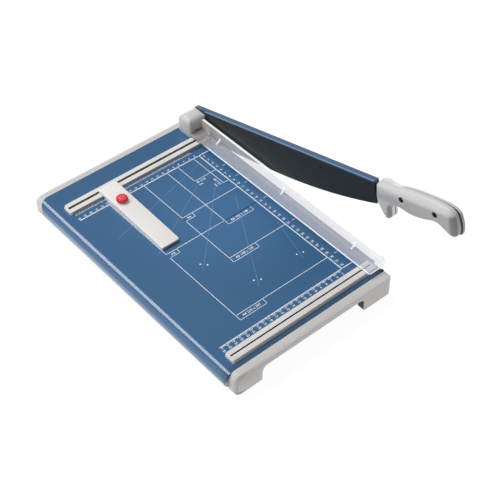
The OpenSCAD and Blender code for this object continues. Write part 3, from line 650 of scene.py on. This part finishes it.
# stop rails: sloped sides, softened top edges, T slot
def rail(name, node, x0, sec, slot_y, slot_w, foot_w, r_front, r_rear):
    (ya, _), (yb, h), (yc, _), (yd, _) = sec
    f, x1 = 0.55, -8.6

    def ring(z, inset):
        k = z / h
        yf, yr, g = ya + (yb - ya) * k + inset, yd + (yc - yd) * k - inset, inset * 0.7
        corners = [(x0 + inset, yf, r_front - g), (x1 - inset, yf, 0.9 - g), (x1 - inset, yr, 0.9 - g), (x0 + inset, yr, r_rear - g)]
        return [P(q.x, q.y, z) for q in round_poly(corners, 9)]

    rings = [ring(0, 0)] + [ring(h - f + f * math.sin(math.pi * i / 10), f * (1 - math.cos(math.pi * i / 10))) for i in range(6)]
    k = len(rings[0])
    faces = [
        (r * k + i, r * k + (i + 1) % k, (r + 1) * k + (i + 1) % k, (r + 1) * k + i)
        for r in range(len(rings) - 1) for i in range(k)
    ]
    faces += [tuple(range(k)), tuple(range((len(rings) - 1) * k, len(rings) * k))]
    ob = raw(name, ([v for r in rings for v in r], faces))
    cut(ob, [
        block("c1", x0 + 4, slot_y - slot_w / 2, 2, x1 - 4, slot_y + slot_w / 2, h + 1),
        block("c2", x0 + 4, slot_y - foot_w / 2, 0.8, x1 - 4, slot_y + foot_w / 2, 2.6),
        block("c3", x0 + 3.6, slot_y - slot_w * 0.75 + 0.35, h - 0.4, x1 - 3.6, slot_y + slot_w * 0.75 - 0.35, h + 1),
    ], 34)
    dress(ob, "base", M["rail_aluminium"], [node])


rail("rear_rail", "rear_stop_rail", -266, [(1.6, 0), (3, 4.6), (22.7, 4.6), (23.3, 0)], 12.9, 3.4, 8, 3, 7)
rail("front_rail", "front_stop_rail", -265.5, [(-358.4, 0), (-356.6, 4.6), (-339.4, 4.6), (-338.8, 0)], -348, 2, 6, 2, 5)

# rubber bumper let into the front right corner of the table
bump_poly = round_poly([(-6.6, -366.2, 1.6), (-3.0, -366.2, 1.2), (-3.0, -361.8, 1.2), (-6.6, -361.8, 1.6)], 15)
bumper = raw("corner_bumper", solid(bump_poly, -4, 1.6, 0.2, 1.1, lambda x, y, t: P(x, y, t)))
dress(bumper, "base", M["pad_rubber"])

# ---------------------------------------------------------------- end caps


def cap_poly(tl, tr):
    return round_poly([
        (-281.5, -36, 13), (-262, -36, 0), (-234, -36, 1.5), (-234, -12, 10), (-51, -12, 10), (-51, -36, 1.5),
        (-2.8, -36, 2), (-2.8, 0.6, tr), (-150, 0.6, 0), (-240, 0.6, 0), (-256, 0.6, 0), (-262, 0.6, 0), (-268, 0.6, 0),
        (-281.5, 0.6, tl),
    ], 6)


def blend01(v, a, b):
    t = min(1.0, max(0.0, (v - a) / (b - a)))
    return t * t * (3 - 2 * t)


def tongues(y_cap, y_end, y_ledge):
    out = []
    for x0, x1 in ((-262, -238), (-51, -33)):
        out.append(slab(x0, min(y_cap, y_end), -16.5, x1, max(y_cap, y_end), -13.5, 0.6))
    out.append(slab(-262, min(y_cap, y_ledge), -4.5, -33, max(y_cap, y_ledge), -1.55, 0.4))
    return out


front = cap_poly(11.5, 2.4)
f_face, f_rim, w_groove = [], [], []
for p in front:
    left = blend01(p.x, -262, -279)
    low = blend01(p.y, -20, -33)
    arch = -236 < p.x < -49 and p.y < -5
    f = 1.9 + 1.3 * left
    f = 0.8 if arch else f * (1 - low) + 0.9 * low
    if p.x > -8:
        f = min(f, 1.3)
    f_face.append(f)
    f_rim.append(0.45 if p.y > -8 else 0.2)
    w_groove.append(blend01(p.x, -258, -268) if not arch else 0.0)
groove = (w_groove, [(3.6, 0.0), (3.0, 0.35), (2.3, 1.3), (1.7, 1.6), (1.1, 1.3), (0.45, 0.35)])
front_cap = raw("front_cap", join(
    [solid(front, -379.1, -366.6, f_face, f_rim, lambda x, z, t: P(x, t, z), n=5, groove=groove)]
    + tongues(-368.6, -320, -361.6)
), 38)
dress(front_cap, "base", M["cap_grey"], ["front_end_cap"])

rear = cap_poly(11.5, 6.0)
f_in, f_out = [], []
for p in rear:
    left = blend01(p.x, -266, -280)
    low = blend01(p.y, -18, -32)
    arch = -236 < p.x < -49 and p.y < -5
    f = 5.0 + 5.0 * left
    if p.x > -10:
        f = 4.0
    f = 0.8 if arch else f * (1 - low) + 0.9 * low
    f_out.append(f)
    f_in.append(0.35 if p.y > -8 else 0.2)
y_lo, f_e = 57.7, 4.0


def wing():
    """The rear left corner: carries the rolled edge round into the cap."""
    rings, m = [], 18
    levels = [-12.5 + 12.5 * math.sin(math.radians(a)) for a in range(-90, 91, 6)]
    for z in levels:
        half = math.sqrt(max(0.0, 12.5**2 - (z + 12.5) ** 2))
        xl = -275.5 - half
        near = max(0.0, max(z, -25 - z) + f_e) / f_e
        e = f_e * (1 - math.sqrt(max(0.0, 1 - min(1.0, near) ** 2)))
        ring = []
        for j in range(m + 1):
            x = -265 + (xl + 265) * math.sin(math.pi / 2 * j / m)
            ring.append((x, y_in(x) + 0.05))
        for j in range(m, -1, -1):
            x = -265 + (xl + 265) * math.sin(math.pi / 2 * j / m)
            yo = 53.7 + math.sqrt(max(0.0, 256 - min(0.0, x + 272) ** 2)) if x < -272 else 69.7
            ring.append((x, max(yo - e, y_in(x) + 0.1)))
        rings.append([P(x, y, z - (0.4 * (1 - (z + 25) / 25))) for x, y in ring])
    k = len(rings[0])
    verts = [v for r in rings for v in r]
    faces = [
        (r * k + i, r * k + (i + 1) % k, (r + 1) * k + (i + 1) % k, (r + 1) * k + i)
        for r in range(len(rings) - 1) for i in range(k)
    ]
    return verts, faces + [tuple(range(k)), tuple(range((len(rings) - 1) * k, len(rings) * k))]


rear_cap = raw("rear_cap", join(
    [solid(rear, 57.7, 70.2, f_in, f_out, lambda x, z, t: P(x, t, z), n=7), wing()] + tongues(59.7, 31, 52.7)
), 38)
dress(rear_cap, "base", M["cap_grey"], ["rear_end_cap"])

# ---------------------------------------------------------------- pivot cover


def weighted_block(name, x0, y0, z0, x1, y1, z1, widths):
    """A block whose edges have their own radii: widths maps pairs such as 'left top' to mm."""
    me = bpy.data.meshes.new(name)
    bm = bmesh.new()
    vs = [bm.verts.new(P(x, y, z)) for x in (x0, x1) for y in (y0, y1) for z in (z0, z1)]
    for q in ((0, 1, 3, 2), (4, 6, 7, 5), (0, 4, 5, 1), (2, 3, 7, 6), (0, 2, 6, 4), (1, 5, 7, 3)):
        bm.faces.new([vs[i] for i in q])
    bm.normal_update()
    layer = bm.edges.layers.float.new("bevel_weight_edge")
    big = max(widths.values())
    for e in bm.edges:
        mid = (e.verts[0].co + e.verts[1].co) / 2
        names = set()
        lo, hi = P(x0, y0, z0), P(x1, y1, z1)
        for i, (a, b) in enumerate((("left", "right"), ("front", "rear"), ("bottom", "top"))):
            if abs(mid[i] - lo[i]) < 1e-6:
                names.add(a)
            elif abs(mid[i] - hi[i]) < 1e-6:
                names.add(b)
        e[layer] = widths.get(frozenset(names), 0.0) / big
    bm.to_mesh(me)
    bm.free()
    ob = bpy.data.objects.new(name, me)
    scene.collection.objects.link(ob)
    m = ob.modifiers.new("round", "BEVEL")
    m.width, m.segments, m.limit_method, m.use_clamp_overlap = big / 1000, 9, "WEIGHT", False
    m.miter_outer = "MITER_SHARP"
    return baked(ob)


def fz(*n):
    return frozenset(n)


def drum(name, axis, c, r, a0, a1, n=48):
    """A cutter: a cylinder along X or Z, through c (the other two of x, y, z)."""
    poly = [Vector((c[0] + r * math.cos(2 * math.pi * i / n), c[1] + r * math.sin(2 * math.pi * i / n))) for i in range(n)]
    if axis == "x":
        place = lambda p, q, t: P(t, p, q)
    elif axis == "y":
        place = lambda p, q, t: P(p, t, q)
    else:
        place = lambda p, q, t: P(p, q, t)
    verts = [place(p.x, p.y, a0) for p in poly] + [place(p.x, p.y, a1) for p in poly]
    faces = [(i, (i + 1) % n, n + (i + 1) % n, n + i) for i in range(n)] + [tuple(range(n)), tuple(range(n, 2 * n))]
    return raw(name, (verts, faces))


cover = weighted_block("pivot_hood", -28.5, 26.4, 0.1, 2.2, 57, 30.5, {
    fz("left", "top"): 8, fz("right", "top"): 2.5, fz("front", "top"): 11, fz("rear", "top"): 12,
    fz("left", "front"): 3, fz("right", "front"): 2, fz("right", "rear"): 2, fz("left", "rear"): 4,
})
cut(cover, [
    weighted_block("c1", -26.3, 28.6, -2, -0.2, 54.8, 27.6, {
        fz("left", "top"): 6, fz("right", "top"): 1, fz("front", "top"): 6.5, fz("rear", "top"): 10, fz("left", "front"): 1.5,
        fz("left", "rear"): 2.5, fz("right", "front"): 0.6, fz("right", "rear"): 0.6,
    }),
    block("c2", -19.6, 24, -3, -6.8, 29.5, 10.0),
    drum("c3", "x", (44, 15), 9, -3, 5),
    drum("c4", "x", (44 + 11 * math.cos(math.radians(235)), 15 + 11 * math.sin(math.radians(235))), 2.6, -3, 5),
    drum("c5", "y", (-13, 4.5), 1.6, 50, 60),
], 38)
dress(cover, "base", M["cover_light"], ["pivot_cover"])

# ---------------------------------------------------------------- side gauge and its knob

H = 20.0


def gauge_top(y):
    if y <= 11:
        return 11.2 - (13.5 - y) * 6.2 / 152.5
    return 11.1 - 3.3 * ((y - 11) / 4) ** 1.5


plan = round_poly([(-209.3, -139, 1.5), (-178.5, -139, 4.5), (-178.5, 15, 8), (-209.3, 15, 3)], 9)
gauge = raw("side_gauge", solid(plan, 0.4, H, 0.2, 1.5, lambda x, y, t: P(x, y, t), n=6))
bm = bmesh.new()
bm.from_mesh(gauge.data)
for y in (-100, -60, -20, 11, 12, 13, 14):
    bmesh.ops.bisect_plane(
        bm, geom=bm.verts[:] + bm.edges[:] + bm.faces[:], plane_co=P(0, y, 0), plane_no=(0, 1, 0), dist=1e-7
    )
for v in bm.verts:
    z = v.co.z * 1000 - 37
    if z > 10:
        v.co.z = zm(gauge_top(v.co.y * 1000 - 202) - (H - z))
bm.to_mesh(gauge.data)
bm.free()
tidy(gauge.data)
cut(gauge, [block("c1", -215, -2, -3, -172, 22, 5.0), drum("c2", "z", (-196.4, -27.6), 2.9, -3, 30)], 40)
dress(gauge, "gauge", M["gauge_plastic"], ["gauge_body"])
seat = raw("gauge_seat", lathe(
    [(2.9, 7.6), (9.5, 7.6), (9.5, 9.6), (9.35, 9.95), (9.0, 10.1), (8.0, 10.1), (2.9, 10.1)], -196.4, -27.6, 72
))
cut(seat, [drum("c1", "z", (-196.4, -27.6), 3.0, -3, 30)], 40)
dress(seat, "gauge", M["gauge_plastic"])


def scallop(r, a):
    k = blend01(r, 6.0, 8.2)
    return r - 0.55 * k * (1 - math.cos(12 * a))


knob = raw("thumb_knob", lathe(
    [(2.6, 10.45), (7.8, 10.45), (8.5, 10.7), (8.85, 11.3), (8.9, 13.0), (8.75, 14.6), (8.3, 15.6), (7.5, 16.1),
     (6.5, 16.3), (5.7, 16.25), (5.1, 16.1), (4.7, 16.25), (4.1, 16.6), (3.4, 16.7), (0.6, 16.7)], -196.4, -27.6, 192, scallop
), 50)
dress(knob, "knob", M["knob_red"], ["gauge_knob"])

# ---------------------------------------------------------------- handle

LOW = [
    (393, 12), (392, 0), (393, -13), (398, -24), (403, -32), (409, -36), (414, -32), (415, -24), (417, -16), (423, -11),
    (432, -10), (442, -12), (454, -14), (467, -14), (481, -12), (492, -9.5), (501, -10), (508, -14), (514, -18), (520, -21),
    (527, -22), (532, -18), (534, -8), (533, 3), (530, 11), (522, 16.5), (508, 19), (490, 20), (470, 20), (452, 19),
]
# the left half stops a little short of the right one at the butt
LOW_LEFT = [(u - 2.4 * (u > 529) - 1.6 * (519 < u <= 529), w) for u, w in LOW]
TOP_LEFT = [(436, 17), (420, 14.5), (406, 13.3)]
TOP_RIGHT = [(436, 17), (424, 15.5), (414, 17), (406, 19), (399, 17.5)]
SCREWS = [(441, 5.5), (499, 4)]


def loop(pts, k=7):
    """A smooth closed curve through the points."""
    out, n = [], len(pts)
    for i in range(n):
        p0, p1, p2, p3 = (Vector(pts[(i + j - 1) % n]) for j in range(4))
        for j in range(k):
            t = j / k
            out.append(0.5 * (2 * p1 + (p2 - p0) * t + (2 * p0 - 5 * p1 + 4 * p2 - p3) * t * t + (3 * p1 - p0 - 3 * p2 + p3) * t**3))
    return out


def edge_distance(line, p):
    best = 1e9
    for i in range(len(line)):
        a, b = line[i - 1], line[i]
        d = b - a
        t = min(1.0, max(0.0, (p - a).dot(d) / d.length_squared))
        best = min(best, (p - a - d * t).length_squared)
    return math.sqrt(best)


def inside(line, p):
    c = False
    for i in range(len(line)):
        a, b = line[i - 1], line[i]
        if (a.y > p.y) != (b.y > p.y) and p.x < (b.x - a.x) * (p.y - a.y) / (b.y - a.y) + a.x:
            c = not c
    return c


def grip(name, pts, x_out, x_seam, a, b, crown, a_top, b_top, a_end, b_end):
    """Half of the handle: the outline rounded over towards x_out, and a small groove at the seam."""
    side = 1 if x_seam > x_out else -1
    line = loop(pts)
    n = len(line)
    flat = [v for v in line]
    for d in (0.12, 0.5, 1.1, 1.9, 2.9, 4.0, 5.2):
        for q in offset(line, d):
            if inside(line, q) and edge_distance(line, q) > 0.97 * d:
                flat.append(q)
    for iu in range(0, 75):
        for iw in range(0, 30):
            q = Vector((390 + iu * 2.0 + (iw % 2), -38 + iw * 2.0))
            if inside(line, q) and edge_distance(line, q) > 6.2:
                flat.append(q)
    vs, _, fs, ov, _, _ = delaunay_2d_cdt(flat, [], [list(range(n))], 1, 1e-4)
    verts, where = [], {}
    for i, v in enumerate(vs):
        d = edge_distance(line, v)
        for j in ov[i]:
            if j < n:
                where[j] = i
                d = 0.0
        k, e = blend01(v.y, -6, 10), blend01(v.x, 498, 526)
        ra, rb = a + (a_top - a) * k, b + (b_top - b) * k
        ra, rb = ra + (a_end - ra) * e, rb + (b_end - rb) * e
        t = 1 - min(1.0, d / ra)
        deep = rb * (1 - math.sqrt(max(0.0, 1 - t * t)))
        deep += crown * (1 - min(1.0, d / 15)) ** 2
        verts.append(A(x_out + side * deep, v.x, v.y))
    faces = [tuple(f) for f in fs]
    k = len(verts)
    verts += [A(x_seam - side * 0.7, q.x, q.y) for q in line]
    verts += [A(x_seam - side * 0.25, q.x, q.y) for q in offset(line, 0.18)]
    verts += [A(x_seam, q.x, q.y) for q in offset(line, 0.6)]
    for i in range(n):
        j = (i + 1) % n
        faces.append((where[i], where[j], k + j, k + i))
        for r in (0, 1):
            faces.append((k + r * n + i, k + r * n + j, k + (r + 1) * n + j, k + (r + 1) * n + i))
    faces.append(tuple(range(k + 2 * n, k + 3 * n)))
    return raw(name, (verts, faces), 44)


def arm_drum(name, u, w, rings, n=40):
    verts = [
        A(x, u + r * math.cos(2 * math.pi * i / n), w + r * math.sin(2 * math.pi * i / n)) for x, r in rings for i in range(n)
    ]
    faces = [
        (q * n + i, q * n + (i + 1) % n, (q + 1) * n + (i + 1) % n, (q + 1) * n + i)
        for q in range(len(rings) - 1) for i in range(n)
    ]
    return raw(name, (verts, faces + [tuple(range(n)), tuple(range((len(rings) - 1) * n, len(rings) * n))]))


left = grip("handle_left", LOW_LEFT + TOP_LEFT, -2.4, 10.6, 6.4, 6.0, 0.5, 14.0, 8.6, 9.5, 8.2)
cut(left, [arm_drum("c%d" % i, u, w, [(-6, 5.2), (-2.6, 5.2), (-1.6, 4.1), (2, 4.1)]) for i, (u, w) in enumerate(SCREWS)], 44)
dress(left, "arm", M["handle_grey"], ["handle_left_shell"])
right = grip("handle_right", LOW + TOP_RIGHT, 17.5, 10.7, 5.0, 4.4, 0.4, 5.6, 3.8, 4.6, 3.4)
dress(right, "arm", M["handle_grey"], ["handle_right_shell"])

# ---------------------------------------------------------------- printed scales and paper formats

ink, soft_ink = [], []


def bar(x0, y0, x1, y1, w=0.9, to=None, h=0.06):
    d = Vector((x1 - x0, y1 - y0)).normalized()
    s = Vector((-d.y, d.x)) * w / 2
    e = d * w / 2
    a, b = Vector((x0, y0)) - e, Vector((x1, y1)) + e
    q = [a + s, a - s, b - s, b + s]
    v = [P(p.x, p.y, -0.02) for p in q] + [P(p.x, p.y, h) for p in q]
    f = [(0, 3, 2, 1), (4, 5, 6, 7), (0, 1, 5, 4), (1, 2, 6, 5), (2, 3, 7, 6), (3, 0, 4, 7)]
    (ink if to is None else to).append((v, f))


def disc(x, y, r):
    n = 16
    q = [(x + r * math.cos(2 * math.pi * i / n), y + r * math.sin(2 * math.pi * i / n)) for i in range(n)]
    v = [P(a, b, -0.02) for a, b in q] + [P(a, b, 0.06) for a, b in q]
    f = [tuple(range(n - 1, -1, -1)), tuple(range(n, 2 * n))] + [(i, (i + 1) % n, n + (i + 1) % n, n + i) for i in range(n)]
    ink.append((v, f))


def letters(text, x, y, h, turn=0.0, align="CENTER", wide=1.0):
    cu = bpy.data.curves.new("letters", "FONT")
    cu.body, cu.size, cu.align_x, cu.resolution_u, cu.extrude = text, h / 0.7, align, 3, 0.04
    cu.offset = 0.018 * h
    ob = bpy.data.objects.new("letters", cu)
    scene.collection.objects.link(ob)
    bpy.context.view_layer.update()
    me = bpy.data.meshes.new_from_object(ob.evaluated_get(bpy.context.evaluated_depsgraph_get()))
    c, s_ = math.cos(math.radians(turn)), math.sin(math.radians(turn))
    v = [P(x + p.co.x * wide * c - p.co.y * s_, y + p.co.x * wide * s_ + p.co.y * c, 0.02 + p.co.z) for p in me.vertices]
    ink.append((v, [tuple(q.vertices) for q in me.polygons]))
    bpy.data.objects.remove(ob)
    bpy.data.curves.remove(cu)
    bpy.data.meshes.remove(me)


Y0, Y1, X0 = -14.2, -325.6, -44.4
bar(-260.5, Y0, -26, Y0, 1.3)
bar(-261, Y1, -26, Y1, 1.3)
bar(X0, Y0, X0, Y1, 1.3)
for x, y in ((-210, -297), (-148, -210), (-105, -148), (-85, -55), (-55, -85)):
    bar(x, Y0, x, y, 0.85)
    bar(x, y, X0, y, 0.85)
bar(-148, -105, X0, -105, 0.85)
bar(-210, -148, X0, -148, 0.85)
for x, y, w, h, text in (
    (-105, -148, 46.5, 9.6, "A6 105 x 148"), (-148, -210, 46.5, 9.8, "A5 148 x 210"), (-210, -297, 46.5, 9.8, "A4 210 x 297"),
    (-148, -105, 17.5, 8.6, "A6"), (-210, -148, 17.5, 8.6, "A5"),
):
    bar(x, y, x, y - h, 0.75)
    bar(x, y - h, x + w, y - h, 0.75)
    bar(x + w, y - h, x + w, y, 0.75)
    letters(text, x + w / 2, y - h / 2 - 2.0, 4.0)
letters("85 x 55", -76.5, -61.4, 3.6)
letters("mm", -81.5, -67.0, 3.2)
letters("55 x 85", -58.4, -77.0, 3.6, 90)
letters("mm", -65.4, -81.5, 3.2, 90)
for deg, r1 in ((15, 250), (30, 256), (45, 268), (60, 304), (75, 270)):
    c, s_ = math.cos(math.radians(deg)), math.sin(math.radians(deg))
    r0 = 52 / c if deg < 60 else (60 / c if deg == 60 else 190)
    bar(-r0 * c, Y0 - r0 * s_, -r1 * c, Y0 - r1 * s_, 0.4, soft_ink)
    r2 = {45: 258, 60: 291, 75: 261}.get(deg)
    if r2:
        for sd in (-5.0, 5.0):
            disc(-r2 * c - sd * s_, Y0 - r2 * s_ + sd * c, 1.25)
for i in range(50, 261):
    mm = max(1.3, 4.4 - 0.75 * min(i % 10, 10 - i % 10))
    bar(-i, Y0 + 0.4, -i, Y0 + 0.4 + (1.5 if i % 5 == 0 else 1.0), 0.28)
    bar(-i, Y1 - 0.4, -i, Y1 - 0.4 - mm, 0.38)
    bar(-i, 1.0, -i, -2.9 if i % 5 == 0 else -2.3, 0.32)
    if i % 10 == 0:
        letters(str(i // 10), -i, Y0 + 2.6, 3.2)
        letters(str(i // 10), -i, Y1 - 9.3, 3.3)
for i in range(20, 325):
    bar(X0 + 0.5, -i, X0 + (2.2 if i % 10 == 0 else 1.7 if i % 5 == 0 else 1.2), -i, 0.3)
    if i % 10 == 0:
        letters(str(i // 10), -38.8, -i - 1.8, 3.6)
for y in (-55, -85, -105, -148, -210, -297):
    bar(-31, y, -26.5, y, 0.8)
table_print = raw("scale_lines", join(ink), 30)
dress(table_print, "base", M["print"])
fan = raw("angle_lines", join(soft_ink), 30)
dress(fan, "base", M["print_soft"])

# ---------------------------------------------------------------- CAD nodes that stay

for node, mat, width in (
    ("foot_pads", "pad_rubber", 0.5), ("lower_knife", "knife_steel", 0.2), ("knife_screws", "fastener_steel", 0),
    ("knife_nuts", "fastener_steel", 0), ("edge_angle", "bracket_steel", 0.4), ("table_ribs", "bracket_steel", 0.4),
    ("cap_screws", "fastener_steel", 0),
    ("rail_screws", "fastener_steel", 0), ("pivot_bracket", "bracket_steel", 0.4), ("bracket_screws", "fastener_steel", 0),
    ("cover_screw", "screw_black", 0), ("pivot_bolt", "fastener_steel", 0.4), ("pivot_nut", "fastener_steel", 0.3),
    ("disc_springs", "spring_steel", 0), ("thrust_washer", "bearing_bronze", 0.2), ("stop_pin", "fastener_steel", 0.3),
    ("guard_hinge_pin", "fastener_steel", 0.2), ("guard_spring", "spring_steel", 0), ("blade_guard", "guard_clear", 0.35),
    ("gauge_clamp_plate", "bracket_steel", 0.2), ("gauge_stud", "fastener_steel", 0.2), ("arm_carrier", "arm_blue", 0.5),
    ("upper_blade", "blade_steel", 0.15), ("blade_screws", "screw_black", 0), ("pivot_bush", "bearing_bronze", 0.2),
    ("handle_screws", "screw_black", 0), ("handle_nuts", "fastener_steel", 0),
):
    crisp(node, M[mat], width)

# ---------------------------------------------------------------- floor, light, camera

floor_m = Surface(
    "floor", (0.10, 0.10, 0.10, 1), (0.094, 0.094, 0.094, 1), rough=(0.7, 0.8), grain=60, bump=0.02, depth=0.1, patch=3,
    speck=0.0, spec=0.1,
)
floor_m.b.inputs["Emission Color"].default_value = (1, 1, 1, 1)
floor_m.b.inputs["Emission Strength"].default_value = 0.94
me = bpy.data.meshes.new("floor")
me.from_pydata([(-9, -9, -0.0003), (9, -9, -0.0003), (9, 9, -0.0003), (-9, 9, -0.0003)], [], [(0, 1, 2, 3)])
floor = bpy.data.objects.new("floor", me)
me.materials.append(floor_m.m)
scene.collection.objects.link(floor)

world = bpy.data.worlds.new("studio")
world.use_nodes = True
scene.world = world
wn = world.node_tree
bg = wn.nodes["Background"]
bg.inputs["Color"].default_value = (1.0, 1.0, 1.0, 1)
bg.inputs["Strength"].default_value = 0.36
seen = nd(wn, "ShaderNodeBackground", {"Color": (1, 1, 1, 1), "Strength": 1.0})
path = nd(wn, "ShaderNodeLightPath").outputs["Is Camera Ray"]
both = nd(wn, "ShaderNodeMixShader", {0: path, 1: bg.outputs[0], 2: seen.outputs[0]})
wn.links.new(both.outputs[0], wn.nodes["World Output"].inputs[0])

aim = Vector((0.0, 0.05, 0.05))
way = Vector((-0.12, 0.535, 0.83)).normalized()


def softbox(name, way, dist, size, watts):
    d = bpy.data.lights.new(name, "AREA")
    d.shape, d.size, d.energy = "SQUARE", size, watts
    ob = bpy.data.objects.new(name, d)
    ob.location = aim + way.normalized() * dist
    ob.rotation_euler = way.to_track_quat("Z", "Y").to_euler()
    scene.collection.objects.link(ob)


softbox("key", way, 4.0, 2.0, 118.0)
softbox("left_fill", Vector((-0.85, 0.42, 0.27)), 3.0, 2.4, 22.0)

scene.view_settings.view_transform = "Standard"
scene.view_settings.look = "None"

yaw, pitch = math.radians(-40.636), math.radians(45.249)
back_v = Vector((math.sin(yaw) * math.cos(pitch), -math.cos(yaw) * math.cos(pitch), math.sin(pitch)))
right_v = Vector((math.cos(yaw), math.sin(yaw), 0))
up_v = back_v.cross(right_v)
cam_d = bpy.data.cameras.new("camera")
cam_d.lens, cam_d.sensor_width, cam_d.clip_start, cam_d.clip_end = 85.07, 36.0, 0.05, 50.0
cam = bpy.data.objects.new("camera", cam_d)
cam.matrix_world = Matrix.Translation((-0.73758, -0.89459, 1.20533)) @ Matrix((right_v, up_v, back_v)).transposed().to_4x4()
scene.collection.objects.link(cam)
scene.camera = cam

bpy.context.view_layer.update()
